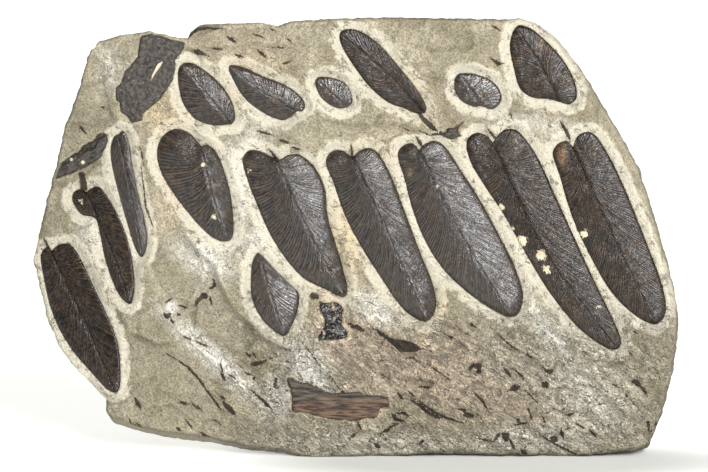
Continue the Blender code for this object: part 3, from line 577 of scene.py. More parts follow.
# %% Outlines of the other remains
REMAINS = {
    "leaf_fragment": [
        (-53.5, 105.8), (-51, 106.25), (-45, 104.7), (-42.3, 104.3), (-43.3, 101.8),
        (-45, 99.75), (-44.9, 98.1), (-45.5, 94.75), (-48.75, 89.75), (-53, 86.5),
        (-53.3, 84.75), (-55.8, 84), (-56.75, 85.6), (-58.75, 86.8), (-59, 89),
        (-60, 89.75), (-60, 92.75), (-58.3, 94.3), (-57.5, 96.8), (-54.25, 100.6),
        (-54.25, 101.8)],
    "twig": [
        (-75.3, 70.5), (-74, 74), (-71.25, 76.1), (-69.25, 77), (-68.25, 78.5),
        (-65.25, 79.9), (-64.75, 81), (-63.75, 81.6), (-62.5, 81.4), (-61.9, 80.4),
        (-61.95, 79.25), (-63.25, 76.75), (-64, 75.25), (-67.25, 73.25), (-71.25, 71.5),
        (-75.2, 70.2)],
    "wood_fragment": [
        (-17.25, 20.25), (-15.5, 20), (-13.75, 18.9), (-11.75, 19), (-8.75, 17.25),
        (-5.25, 16.1), (-3.75, 16.5), (1, 16.9), (2, 16.1), (8.25, 15.4), (8.6, 14.25),
        (8.5, 13), (6.5, 12.75), (5.5, 10.5), (2.25, 10), (0.5, 9.4), (-6.25, 10.1),
        (-12, 11.5), (-15.75, 12.1), (-15.6, 14), (-16.1, 17.75)],
    "bud": [
        (21.1, 82), (22.3, 81.7), (23.25, 82.75), (25, 82.8), (26.1, 83.6), (25.7, 82.3),
        (26.1, 81.5), (26.8, 80.8), (24.25, 79.9), (23, 80.1), (21, 81.2)],
    "coal_patch": [
        (-9, 39.5), (-7, 38.75), (-5.6, 39.3), (-3.75, 38.9), (-3, 37.5), (-3.25, 33.5),
        (-1.75, 31.5), (-1.6, 30.5), (-3.5, 29.9), (-9.1, 29.7), (-9.3, 30.5),
        (-7.5, 33.5), (-7.5, 35), (-8.6, 37)],
}
print("other remains:", sorted(REMAINS))

# %% [markdown]
# ## How a leaflet is laid out
# A leaflet of this plant has a sunken midrib, and veins that leave it at a slant, arch outwards
# and fork twice before the margin. If each row of the mesh is a vein, the relief comes out crisp
# with few faces. So a row starts on the midrib, bends, and ends on the margin, and a share of
# the way along both is all that is needed to place it.

# %% The layout of a leaflet
LEAF_EDGE = -0.85
LEAF_CROWN = 0.09               # height of the crest, as a share of the width
CROWNS = {                      # leaflets that are flatter than the others, or steeper
    "leaflet_middle_2": 0.10, "leaflet_middle_3": 0.125, "leaflet_middle_5": 0.025,
    "leaflet_middle_6": 0.04, "leaflet_upper_4": 0.015, "leaflet_upper_6": 0.045,
    "leaflet_left_large": 0.05,
}
MIDRIB_START, MIDRIB_END = 0.015, 0.90
VEIN_PULL = 2.5                 # veins near the base start closer together on the midrib
VEIN_BEND = 0.45                # how far along its way a vein turns outwards
VEIN_LIFT = 0.10                # how far off the midrib it is by then


class Leaflet:
    """A leaflet's margins and midrib, and the flat plane that it lies in."""

    def __init__(self, crown, base, tip, bow, left, right):
        self.crown = crown
        loop = rounded([base] + left + [tip] + right[::-1] + [base])
        at_tip = CURVE_STEPS * (len(left) + 1)
        self.left, self.right = loop[:at_tip + 1], loop[at_tip:][::-1]
        base, tip = np.array(base, float), np.array(tip, float)
        run = tip - base
        self.length = np.hypot(*run)
        across = np.array([run[1], -run[0]]) / self.length
        if across[0] < 0:
            across = -across
        self.midrib = rounded([base, (base + tip) / 2 + bow * across, tip])
        self.width = 2 * abs((self.left - base) @ across).max()
        self.outline = np.vstack([self.left, self.right[-2:0:-1]])
        terms = np.stack([np.ones(len(self.outline)), *self.outline.T], axis=1)
        self.plane = np.linalg.lstsq(terms, broad_height(*self.outline.T), rcond=None)[0]

    def plane_height(self, u, v):
        return self.plane[0] + self.plane[1] * u + self.plane[2] * v

    def vein(self, margin, share, t):
        """Places along the veins that end at shares of a margin, t of the way out to it."""
        start = MIDRIB_START + (MIDRIB_END - MIDRIB_START) * share ** VEIN_PULL
        turn = start + VEIN_BEND * (share - start)
        a = along(self.midrib, start)
        c = along(margin, share)
        b = along(self.midrib, turn)
        b = b + VEIN_LIFT * (c - b)
        t = t[..., None]
        return (1 - t) ** 2 * a + 2 * t * (1 - t) * b + t ** 2 * c


leaves = {name: Leaflet(CROWNS.get(name, LEAF_CROWN), **shape) for name, shape in LEAFLETS.items()}
print("longest leaflet:", round(max(leaf.length for leaf in leaves.values()), 1), "mm")

# %% [markdown]
# ## The stone
# The stone starts as a fine grid with half a millimetre between its lines. It is extruded once
# for its thickness, and its sides are cut into rings. Each corner of the mesh then knows how far
# across, up and back it is, and is moved to its place on the slab. The fine grid in front gives
# the cleaned bands their smooth slopes; the hidden back is thinned afterwards.

# %% Height of the face, with the cleaned bands
BAND_WIDTH = 2.3
BAND_FOOT = 0.35
BAND_SUNK = 0.06                # how far the band starts below the leaflet's edge
BAND_RISE, BAND_REACH = 0.22, 3.0
POCKET_DEPTH = 1.3
RIM_REACH = 7.0
GRAIN_SLANT = math.radians(-35)


def slow_swell(u, v):
    """The gentle rise and fall of the whole face."""
    return 0.5 * rough(u, v, 11.0, 3.0)


def pocket(away):
    """How deep the stone is sunk under a fossil, for distances to its outline."""
    return ease((0.05 - away) / 0.5) * POCKET_DEPTH


def fine_height(u, v):
    """Chips, thin ledges and ridges along the bedding, and the grain of the broken face."""
    along_grain = u * math.cos(GRAIN_SLANT) + v * math.sin(GRAIN_SLANT)
    across_grain = -u * math.sin(GRAIN_SLANT) + v * math.cos(GRAIN_SLANT)
    low = ease((50 - v) / 22) * ease((u + 30) / 30)
    warp = 0.7 * rough(u, v, 2.6, 101.0)
    chips = facets(u + warp, v - warp, 10.0, 1, 0.11) + facets(u - warp, v - warp, 4.5, 2, 0.07)
    splits = facets(along_grain / 3.0 + warp, across_grain, 2.6, 4, 0.20)
    ridges = rough(along_grain / 4.0 + rough(u, v, 9.0, 77.0), across_grain, 1.5, 33.0)
    bent_u, bent_v = u + 0.6 * warp, v + 0.6 * rough(u, v, 2.4, 105.0)
    total = slow_swell(u, v) + chips + ledge_height(bent_u, bent_v, FINE_LEDGES)
    total = total + (0.12 + 0.88 * low) * (splits + 0.28 * ridges)
    return total + 0.06 * rough(u, v, 1.3, 17.0)


def cleaned(u, v, height):
    """Carves the pockets and bands, and returns the height and the distance to a leaflet."""
    rim = np.full(np.shape(u), RIM_REACH)
    wobble = 0.8 * rough(u, v, 5.0, 51.0) + 0.5 * rough(u, v, 2.0, 53.0)
    for leaf in leaves.values():
        away = signed_distance(u, v, leaf.outline, RIM_REACH)
        floor_level = leaf.plane_height(u, v) + LEAF_EDGE - BAND_SUNK
        slope = ease((away - BAND_FOOT) / (BAND_WIDTH + wobble))
        carved = floor_level + BAND_RISE * np.clip(away, 0, BAND_REACH)
        height = np.where(away < RIM_REACH, carved + (height - carved) * slope, height)
        height = height - pocket(away)
        rim = np.minimum(rim, away)
    for outline in REMAINS.values():
        height = height - pocket(signed_distance(u, v, outline, 1.0))
    return height, rim


print("band width:", BAND_WIDTH, "mm")

# %% The stone's mesh
ACROSS, UP, RINGS = 320, 217, 16
FRAYED = 0.01                   # share of the face, from its outline inwards, that is ragged
EDGE_SHARE, EDGE_DROP = 0.012, 0.6
BACK_ROUND, BACK_DROP = 0.08, 3.5
BACK_SHIFT = 1.5                # how far the back's middle lies below the face's
HALFWAY_UP = 55.0


def blank_place(across, up, depth):
    """Places on the slab for shares across, up and back, with the distance to a leaflet."""
    top, bottom = along(TOP_SIDE, across), along(BOTTOM_SIDE, across)
    left, right = along(LEFT_SIDE, up), along(RIGHT_SIDE, up)
    a, b = across[:, None], up[:, None]
    corners = ((1 - a) * (1 - b) * LEFT_SIDE[0] + a * (1 - b) * RIGHT_SIDE[0]
               + (1 - a) * b * LEFT_SIDE[-1] + a * b * RIGHT_SIDE[-1])
    u, v = ((1 - b) * bottom + b * top + (1 - a) * left + a * right - corners).T
    inner = np.minimum(np.minimum(across, 1 - across), np.minimum(up, 1 - up))
    chips = 0.5 * rough(u, v, 2.3, 61.0) + 0.3 * rough(u, v, 0.9, 64.0)
    pull = ease(1 - inner / FRAYED)
    u = u - np.sign(u) * pull * chips * 0.7 * (np.abs(across - 0.5) > 0.48)
    v = v - np.sign(v - HALFWAY_UP) * pull * chips * 0.5 * (np.abs(up - 0.5) > 0.48)
    front_n, rim = cleaned(u, v, plain_height(u, v) + fine_height(u, v))
    front_n = front_n - EDGE_DROP * (1 - ease(inner / EDGE_SHARE)) ** 2
    front_y = FOOT_Y + v * math.sin(LEAN) - front_n * math.cos(LEAN)
    front_z = v * math.cos(LEAN) + front_n * math.sin(LEAN)
    edge = ease(inner / BACK_ROUND)
    worn = terraced(6.0 * rough(u, v, 42.0, 21.0), 1.7) + 0.9 * rough(u, v, 12.0, 5.0)
    worn = worn + 0.35 * rough(u, v, 3.5, 72.0)
    back_x = BACK_CENTRE[0] + (u - BACK_CENTRE[0]) * BACK_SCALE[0]
    back_z = BACK_CENTRE[1] + (front_z - BACK_CENTRE[1]) * BACK_SCALE[1] - BACK_SHIFT
    back_y = BACK_FOOT_Y + BACK_SLOPE * back_z - BACK_DROP * (1 - edge) + worn
    back_z = np.where(up < 0.05, back_z - 4.0, back_z)
    swell = np.sin(math.pi * depth)
    x = u + (back_x - u) * depth ** 1.3
    y = front_y + (back_y - front_y) * depth
    z = front_z + (back_z - front_z) * depth
    hackle = 0.9 * rough(y + u, z, 9.0, 40.0)
    beds = swell ** 0.3 * (terraced(1.5 * rough(y * 2.2 + 0.15 * u, 0.4 * z, 6.0, 45.0), 0.5)
                           + 0.45 * rough(y * 1.5 + u, z, 2.4, 47.0))
    x = x - np.sign(u) * (swell * (0.6 + hackle) + beds * 0.6) * (np.abs(across - 0.5) > 0.49)
    z = z - (swell * (0.8 + hackle) + beds * 0.5) * (up > 0.99)
    z = z - swell * 3.0 * (up < 0.01)
    z = np.maximum(z, 0.0)
    return np.stack([x, y, z], axis=1) * MM, u, v, rim


def vertex_places(mesh):
    places = np.empty(len(mesh.vertices) * 3)
    mesh.vertices.foreach_get("co", places)
    return places.reshape(-1, 3)


def edge_ends(mesh):
    ends = np.empty(len(mesh.edges) * 2, int)
    mesh.edges.foreach_get("vertices", ends)
    return ends.reshape(-1, 2)


def grid_piece(name, columns, rows):
    """A flat grid, with the row and column of each of its corners."""
    bpy.ops.object.select_all(action="DESELECT")
    bpy.ops.mesh.primitive_grid_add(x_subdivisions=columns, y_subdivisions=rows, size=1.0)
    piece = bpy.context.object
    piece.name = name
    flat = vertex_places(piece.data)
    column = np.rint((flat[:, 0] + 0.5) * columns).astype(int)
    row = np.rint((flat[:, 1] + 0.5) * rows).astype(int)
    return piece, row, column


def select_only(piece, kind, flags):
    """Leaves only the flagged vertices, edges or polygons of a mesh selected."""
    for name in ("vertices", "edges", "polygons"):
        items = getattr(piece.data, name)
        chosen = flags if name == kind else np.zeros(len(items), bool)
        items.foreach_set("select", chosen)


stone = grid_piece("mudstone_slab", ACROSS, UP)[0]
edit("EDGE", "SELECT")
bpy.ops.mesh.extrude_region_move(TRANSFORM_OT_translate={"value": (0, 0, -1.0)})
bpy.ops.mesh.select_all(action="DESELECT")
leave_edit()
print("stone after one extrusion:", len(stone.data.vertices), "corners")

# %% Cut the sides into rings and move every corner to its place
only(stone)
level = vertex_places(stone.data)[:, 2]
ends = edge_ends(stone.data)
select_only(stone, "edges", np.abs(level[ends[:, 0]] - level[ends[:, 1]]) > 0.5)
bpy.ops.object.mode_set(mode="EDIT")
bpy.ops.mesh.subdivide(number_cuts=RINGS - 1)
bpy.ops.mesh.select_all(action="DESELECT")
leave_edit()

blank = vertex_places(stone.data)
places, face_u, face_v, rim = blank_place(blank[:, 0] + 0.5, blank[:, 1] + 0.5, -blank[:, 2])
stone.data.vertices.foreach_set("co", places.ravel())
stone.data.update()
print("stone from", places.min(axis=0).round(4), "to", places.max(axis=0).round(4))

# %% [markdown]
# ## Colour zones and plant scraps, as attributes
# The stone's colour wanders from bluish white through tan to purplish brown, and black scraps of
# plant lie all over it. They are only colour, so they aren't modelled. Each is a number kept on
# the mesh's corners (an attribute), which the material reads: the distance to the nearest
# leaflet, the distance to the nearest scrap, and how much of each tint there is. One olive blob
# is partly painted shadow, and a few pale ones low on the face are partly painted light. One more
# number is the relief of each corner over its neighbours, which paints shade into the hollows.

# %% Narrow scraps, placed one by one on the face
SCRAPS = [       # the middle line of a scrap, and half its width
    ([(-35.5, 45), (-35, 43.5), (-36.75, 42.25)], 0.35), ([(-36.25, 40.5), (-35.9, 38.75)], 0.3),
    ([(-47.25, 39.25), (-45.9, 40.1)], 0.25), ([(-46.25, 35.5), (-45.5, 34)], 0.2),
    ([(-43.75, 38.3), (-42, 37.75)], 0.35), ([(-44.4, 36.4), (-43.9, 36)], 0.35),
    ([(-42.75, 30.5), (-41.75, 30), (-40.75, 29.9)], 0.2), ([(-33.6, 15.5), (-32.7, 15.1)], 0.35),
    ([(-47, 26.2), (-44.5, 24.75), (-42, 23), (-39.8, 20.8), (-38.4, 19), (-36.6, 16.5),
      (-34.8, 14), (-33, 11.5)], 0.3),
    ([(-32.75, 14), (-30.25, 11.25)], 0.75), ([(-43.75, 14), (-41.75, 13.7)], 0.4),
    ([(-40.9, 13.85), (-38.4, 12.1)], 0.45), ([(-55.25, 15.25), (-53.75, 12.5)], 0.5),
    ([(-56.6, 10.1), (-55.9, 8.3)], 0.25), ([(-54.8, 9), (-53.75, 8)], 0.25),
    ([(-44.5, 7.6), (-43.75, 7)], 0.5), ([(-42.3, 9.6), (-40.9, 7.6)], 0.25),
    ([(-38.75, 6.5), (-36.6, 5.5)], 0.35), ([(-35.5, 9.9), (-33.4, 8.5)], 0.25),
    ([(-27, 26.25), (-26.5, 25.5)], 0.4), ([(-25.5, 26.5), (-25, 25.5)], 0.35),
    ([(-27.3, 21.5), (-25.9, 21)], 0.3), ([(-25, 20.75), (-25.5, 19.75)], 0.25),
    ([(-25.9, 17.25), (-24.1, 15.5), (-22, 14), (-20.5, 11.9)], 0.25),
    ([(-22.75, 14.25), (-21.5, 13)], 0.5), ([(-33.75, 24), (-33, 21.5)], 0.2),
    ([(-33.5, 21.25), (-32.5, 19.75)], 0.5), ([(-31.25, 21), (-29.75, 20)], 0.3),
    ([(-29, 23.5), (-28.25, 22.75)], 0.2), ([(-39.8, 29.4), (-38.5, 28.75), (-36.75, 28)], 0.25),
    ([(16.9, 27.5), (19, 27)], 0.15), ([(12.5, 25), (14.4, 25.4), (16, 24.1)], 0.2),
    ([(5, 24.1), (7.5, 24.75)], 0.15), ([(18.1, 23.75), (20.6, 22), (23.75, 19.75)], 0.2),
    ([(14, 14.75), (16.25, 13.25), (18.75, 11.25), (21, 10)], 0.4),
    ([(16, 14.5), (18.75, 12.5), (22.5, 10.4), (26.9, 9.1)], 0.3),
    ([(9.4, 11.25), (10.25, 9.75), (12.25, 9.5)], 0.4),
    ([(10.5, 11.5), (12.25, 11.5), (13.25, 10.75)], 0.3),
    ([(7.5, 7), (8.75, 7.9), (11.25, 9.1)], 0.2), ([(7.25, 6.75), (8.5, 7.25)], 0.5),
    ([(-1.25, 5.25), (0, 6.15)], 0.35), ([(0.75, 9), (1.5, 7.5)], 0.4),
    ([(10.6, 16.6), (11.9, 15)], 0.35), ([(13.5, 16.75), (15, 15.5)], 0.25),
    ([(16, 18), (18.75, 17.9)], 0.2), ([(-6.25, 20.75), (-3.75, 17.25)], 0.15),
    ([(-13.1, 29.1), (-9.75, 24.75), (-8.75, 23.5)], 0.15), ([(5.1, 3.65), (6.1, 2.9)], 0.6),
    ([(25.6, 12.5), (27.2, 12.25), (28.1, 10)], 0.4), ([(37, 23), (39, 20.5)], 0.35),
    ([(39.4, 22.7), (41.25, 21.25), (42.1, 20)], 0.3), ([(42, 17.7), (45.4, 14.3)], 0.2),
    ([(29.75, 16.6), (31.7, 14.75), (33.1, 12.5)], 0.4), ([(40.2, 8.5), (43.3, 9.1)], 0.3),
    ([(40.5, 9.9), (41, 9.5)], 0.3), ([(43.3, 12.7), (44.2, 9.75)], 0.25),
    ([(46.5, 11.25), (47.75, 8.75)], 0.2), ([(38.75, 4.75), (40, 2.25)], 0.35),
    ([(35, 4.75), (36, 6.25)], 0.5), ([(30.2, 5.2), (34.5, 4.3)], 0.25),
    ([(46.25, 6), (50.4, 3.5), (55.4, 1)], 0.3), ([(51.5, 7.25), (52.1, 5.2)], 0.4),
    ([(52.9, 11), (54.6, 11.4)], 0.3), ([(55.4, 8.9), (57.1, 7.7)], 0.25),
    ([(58.75, 7.25), (60.25, 5.5)], 0.3), ([(67.75, 16), (68.1, 15.6)], 0.35),
    ([(69, 14.75), (71, 12.5)], 0.2), ([(75.4, 9.1), (75.6, 8.1)], 0.35),
    ([(66.25, 24.25), (67, 24.1)], 0.35), ([(64.75, 18.5), (66, 18)], 0.25),
    ([(22, 31.5), (23.75, 30.5), (25.25, 30)], 0.2), ([(23.75, 33), (26.25, 32.25)], 0.15),
    ([(28.75, 33.75), (30.25, 32.9)], 0.3), ([(26.25, 29.1), (27.9, 27.5)], 0.2),
    ([(69.75, 32), (70.5, 31.4)], 0.15), ([(75.8, 21.4), (76.5, 19.5)], 0.15),
    ([(68.6, 26.4), (69, 26.1)], 0.25), ([(41.7, 2.25), (42.9, 1)], 0.5),
    ([(33.75, 33), (39.25, 28), (45.5, 24.75)], 0.15),
    ([(-41.75, 105.25), (-39.5, 107.4), (-37.25, 107.75), (-33.25, 107.6)], 0.45),
    ([(-35.5, 102.6), (-33.25, 102.4)], 0.3), ([(-31.75, 105.5), (-30, 104.25)], 0.4),
    ([(-25.25, 106.25), (-23.25, 105.5)], 0.25), ([(-21, 107.5), (-20, 107)], 0.3),
    ([(-17, 105.25), (-15.75, 104)], 0.35), ([(-21.75, 103), (-17.5, 102.75)], 0.15),
    ([(-29.75, 101), (-28.1, 100.5)], 0.4), ([(-24.25, 102.25), (-22.25, 100.25)], 0.4),
    ([(-18.25, 98.75), (-16.25, 99.25)], 0.3), ([(-24.25, 82), (-20.75, 81)], 0.35),
    ([(-18.75, 79.75), (-16.5, 79)], 0.35), ([(-15.75, 78), (-13.75, 77.25)], 0.35),
    ([(-69.25, 83.5), (-67.25, 81.25)], 0.35), ([(-63.25, 88), (-62.75, 88)], 0.35),
    ([(-53.75, 78), (-52.75, 73.5)], 0.2), ([(34.4, 108.25), (36, 107.25)], 0.3),
    ([(11.25, 83), (13.75, 82), (16.25, 82), (18.75, 81), (21.5, 81.1)], 0.2),
    ([(25.25, 82.5), (26.5, 83.75), (27, 84.25)], 0.2),
    ([(15.75, 86.75), (17.5, 84.5), (19.5, 82.75), (20.25, 82.25)], 0.7),
    ([(38.75, 86.6), (39.4, 84.75)], 0.15), ([(51.5, 84.1), (52.75, 82), (53.75, 79.75)], 0.4),
    ([(33, 82.75), (35.5, 79.75)], 0.4), ([(-21.25, 77.25), (-18.75, 74)], 0.4),
    ([(-1, 78.5), (-0.6, 75)], 0.35), ([(15.5, 80.25), (16.75, 78.25)], 0.5),
    ([(-78.5, 55.25), (-76.25, 51)], 0.35), ([(-53.5, 73), (-52.3, 63), (-50.5, 58)], 0.2),
]
print("narrow scraps:", len(SCRAPS))

# %% Broad scraps and tints
FLAKES = [       # outlines of the broader scraps
    [(-40.5, 37.6), (-39.8, 39.9), (-38, 41.75), (-37, 41.5), (-36.6, 40.1), (-38, 40.1),
     (-39.5, 38.3)],
    [(-48, 37.1), (-47, 36.2), (-45.9, 36.5), (-46.1, 35.5), (-47, 34.9), (-47.9, 35.6)],
    [(-26.6, 23.9), (-25.5, 23), (-23.75, 23.5), (-21.6, 24.75), (-23.75, 24.4)],
    [(-20.2, 20.1), (-19.3, 20.8), (-19.6, 18.5), (-20, 17)],
    [(-11.6, 40.9), (-10.6, 41.75), (-9, 41.1), (-8.75, 40.4), (-10.3, 39.75)],
    [(4, 33.25), (6.25, 32), (9, 30.25), (13.5, 29.5), (16.25, 28.25), (16.5, 27.25),
     (14.4, 26.75), (11.25, 26.75), (9.75, 28), (8.25, 29.5), (5.75, 31.25)],
    [(-2.8, 34.5), (-1.25, 34), (1.25, 33.25), (3.1, 31.6), (1.25, 32), (-0.75, 32.75)],
    [(15.6, 3.8), (16.9, 5), (17.5, 4.25), (16.25, 3.5)],
    [(28.1, 22.5), (29.4, 24), (31.7, 24), (31.7, 21.5), (30.25, 21.1), (30.4, 22.6),
     (29.4, 22.9), (29, 21.9)],
    [(37.9, 17), (39.5, 18.5), (41.7, 18.3), (40.75, 17)],
    [(46.7, 23.1), (47.9, 22.5), (49.2, 22.5), (50, 23.1), (49.5, 21.5), (48.5, 21), (47.5, 21.8)],
    [(46.5, 19.1), (48.3, 19.3), (48.5, 17.9), (47, 17.7)],
    [(26.7, 11), (27.9, 11.8), (30.8, 10.6), (28.1, 10)],
    [(36.7, 6.6), (38.5, 6.6), (38.75, 5.2), (37.9, 4.1), (37, 4.75)],
    [(48.75, 5.6), (50.4, 5.8), (50.6, 4.3), (49.2, 3.9)],
    [(68.75, 19.5), (70.6, 20), (72.7, 17), (73.3, 15.6), (71.25, 17.75)],
    [(72.7, 9.3), (73.75, 9.5), (73.75, 8), (74.4, 5.25), (73.25, 7.25)],
    [(-41.25, 102.25), (-39, 102.4), (-37.25, 101.25), (-36.25, 100.6), (-39.5, 101)],
    [(33.75, 100.4), (35.5, 99.5), (37.5, 98.8), (35.5, 98.4)],
    [(-69.5, 71.75), (-68, 71.75), (-67, 67.25), (-69, 67.25)],
]
TINTS = {        # centre, half sizes, turn in degrees, strength
    # the pale blobs at (58, 16), (0, 4) and (46, 5) lighten the lower face: partly pale stone, partly
    # painted light where the lamps leave the foot darker
    "pale": [((-35, 25), (16, 2.6), -42, 0.95), ((-20, 15), (4, 6), 0, 0.8),
             ((-30, 66), (5, 20), -18, 0.9), ((-38, 50), (8, 4), -25, 0.9),
             ((-24, 54), (5, 6), -20, 0.8), ((-66, 58), (4, 14), -12, 0.6),
             ((-12, 23), (5, 9), 35, 0.85), ((45, 84), (14, 2.5), -8, 0.5),
             ((48, 32), (14, 3), -52, 0.7), ((6, 37), (8, 3.5), -28, 0.9),
             ((58, 16), (15, 10), -38, 0.6), ((0, 4), (36, 3.5), 0, 0.45),
             ((44, 22), (14, 9), -20, 0.35), ((-45.8, 38), (1.7, 1.7), 0, 1.0),
             ((-61, 97), (4, 7), 0, 0.5), ((4, 104), (5, 3), 0, 0.4), ((46, 5), (22, 5), 3, 0.5)],
    "tan": [((-1, 58), (4.5, 18), -18, 0.9), ((10, 33), (12, 4), -30, 0.5),
            ((-24, 100), (10, 6), 0, 0.35), ((-45, 70), (3, 14), -10, 0.5),
            ((14, 92), (4, 10), 35, 0.45), ((-30, 90), (7, 4), 30, 0.3),
            ((-49, 86), (4, 5), 40, 0.7), ((18, 38), (5, 3), 0, 0.8)],
    "brown": [((20, 22), (26, 9), -12, 0.85), ((-4, 30), (9, 8), -30, 0.8),
              ((44, 15), (12, 8), 0, 0.6), ((30, 8), (24, 5), 0, 0.4),
              ((-48, 68), (2, 18), -12, 0.45), ((0, 12), (14, 7), 0, 0.3),
              ((70, 60), (2.5, 26), 14, 0.4), ((-1.4, 18.7), (2, 1.5), 0, 0.9),
              ((62, 22), (7, 1.5), -45, 0.5)],
    "olive": [((-42, 30), (14, 12), -20, 0.7), ((-50, 12), (12, 8), 0, 0.7),
              ((30, 102), (9, 4), -4, 0.5), ((-52, 50), (6, 16), 0, 0.4),
              ((-20, 10), (22, 7), 0, 0.25), ((-72, 90), (6, 12), 0, 0.5),
              ((-18, 80), (5, 5), 0, 0.5), ((-10, 83), (9, 4), 0, 0.55),
              # the blob at (-26, 34) darkens the slope below the band round the small centre leaflet:
              # partly olive stone, partly a painted shadow of that raised band
              ((-26, 34), (4, 6), -20, 1.0), ((72, 10), (7, 8), 0, 0.5)],
}


print("broad scraps:", len(FLAKES), "tints:", sorted(TINTS))

# %% Keep the distances and the tints on the mesh
WINDOW = 5                      # width of the patch that a corner's height is compared with


def keep_values(piece, name, values):
    """Stores one number for each corner of a mesh, for its material to read."""
    layer = piece.data.attributes.new(name, "FLOAT", "POINT")
    layer.data.foreach_set("value", np.asarray(values, np.float32))


scrap = np.full(len(face_u), FAR)
scrap_side, scrap_half = scrap.copy(), np.zeros(len(face_u))
for line, half_width in SCRAPS:
    away, side, share = near_path(face_u, face_v, line)
    half = half_width * (1 - 0.6 * np.abs(2 * share - 1) ** 2)
    nearer = away - half < scrap
    scrap = np.where(nearer, away - half, scrap)
    scrap_side = np.where(nearer, side * away, scrap_side)
    scrap_half = np.where(nearer, half, scrap_half)
flake = np.full(len(face_u), FAR)
for outline in FLAKES:
    flake = np.minimum(flake, signed_distance(face_u, face_v, outline, FAR))
on_face = blank[:, 2] > -0.5 / RINGS
scrap, flake = np.where(on_face, scrap, FAR), np.where(on_face, flake, FAR)
rim = np.where(on_face, rim, RIM_REACH)
# How far each corner of the face stands out over the mean of its 5 by 5 patch; the material paints
# shade with it, darker in hollows and lighter on crests.
sheet = np.zeros((UP + 1, ACROSS + 1))
row_of = np.rint((blank[:, 1] + 0.5) * UP).astype(int)
column_of = np.rint((blank[:, 0] + 0.5) * ACROSS).astype(int)
out_from_face = (places[:, 2] * math.sin(LEAN) - places[:, 1] * math.cos(LEAN)) / MM
sheet[row_of[on_face], column_of[on_face]] = out_from_face[on_face]
level = np.pad(sheet, WINDOW // 2, mode="edge")
around = sum(level[i:i + UP + 1, j:j + ACROSS + 1] for i in range(WINDOW) for j in range(WINDOW))
ridge = np.where(on_face, (sheet - around / WINDOW ** 2)[row_of, column_of], 0)
busy = np.clip(0.2 + 0.8 * ease((45 - face_v) / 20) * ease((face_u + 45) / 30), 0, 1)
kept = {"rim": rim, "ridge": ridge, "busy": busy, "flake": flake, "scrap": scrap,
        "scrap_side": scrap_side, "scrap_half": scrap_half}
for tint, blobs in TINTS.items():
    amounts = [strength * np.exp(-0.7 * oval(face_u, face_v, centre, size, turn))
               for centre, size, turn, strength in blobs]
    kept[tint] = np.max(amounts, axis=0)
for name, values in kept.items():
    keep_values(stone, name, values)
print("attributes:", [a.name for a in stone.data.attributes if not a.is_internal])

# %% Thin the hidden back
BACK_KEPT = 0.14


def faces_where(mesh, flags, test):
    """Tests the flags of each face's corners together: all of them, or any of them."""
    counts = np.empty(len(mesh.polygons), int)
    corners = np.empty(len(mesh.loops), int)
    mesh.polygons.foreach_get("loop_total", counts)
    mesh.loops.foreach_get("vertex_index", corners)
    starts = np.concatenate([[0], np.cumsum(counts)[:-1]])
    return test.reduceat(flags[corners], starts)


select_only(stone, "polygons", faces_where(stone.data, blank[:, 2] < -0.999, np.logical_and))
bpy.ops.object.mode_set(mode="EDIT")
bpy.ops.mesh.select_mode(type="FACE")
bpy.ops.mesh.decimate(ratio=BACK_KEPT)
bpy.ops.mesh.select_all(action="SELECT")
bpy.ops.mesh.quads_convert_to_tris(quad_method="SHORTEST_DIAGONAL")
bpy.ops.mesh.normals_make_consistent(inside=False)
bpy.ops.mesh.select_all(action="DESELECT")
leave_edit()
stone.data.shade_smooth()
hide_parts("stone")
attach(stone, "root")
print("stone triangles:", len(stone.data.polygons))

# %% [markdown]
# ## The leaflets
# A leaflet is a grid whose rows follow its veins. Eight rows make a bundle. Near the midrib they
# rise as one vein, and further out as two, which is how the veins of this plant fork. The raised
# veins, the sunken midrib and the slope of each half are heights over the leaflet's own plane.

# %% Rows and heights of a leaflet
VEIN_SPACING = 0.8              # along the margin, in mm
ROWS_A_VEIN = 4
BUNDLE = 2 * ROWS_A_VEIN
COLUMNS = np.array([0, 0.03, 0.07, 0.12, 0.18, 0.26, 0.35, 0.44, 0.53, 0.62, 0.71, 0.80, 0.88,
                    0.95, 1.0])
GROOVE_DEPTH = 0.34
GROOVE_WIDTH = 0.42
VEIN_HEIGHT = 0.09
EDGE_FALL = 0.6                 # how far in from the margin the edge rounds over, in mm
EDGE_RISE = 0.12


def crest(x):
    return 0.5 - 0.5 * np.cos(2 * math.pi * x)


def half_leaflet(leaf, margin, bundles, shift):
    """Places, distance out and vein crests of one half, rows by columns."""
    rows = bundles * BUNDLE
    share = np.linspace(0, 1, rows + 1)[:, None]
    t = COLUMNS[None, :] + 0 * share
    phase = share * bundles + shift
    seed = leaf.length + 10 * shift
    wander = 0.2 * rough(share * bundles, t * 3, 2.2, seed) / bundles
    ends = ease(np.minimum(share, 1 - share) / 0.02)
    moved = share + wander * 4 * t * (1 - t) * ends
    place = leaf.vein(margin, np.clip(moved, 0, 1).ravel(), t.ravel()).reshape(rows + 1, -1, 2)
    fork = ease((t - 0.22) / 0.22)
    vein = crest(phase) * (1 - fork) + crest(2 * phase) * fork
    worn = 0.7 + 1.1 * rough(share * bundles * 2, t * 9, 2.6, seed + 5)
    return place, t, np.clip(vein * worn * ends * ease(t / 0.05), 0, 1)


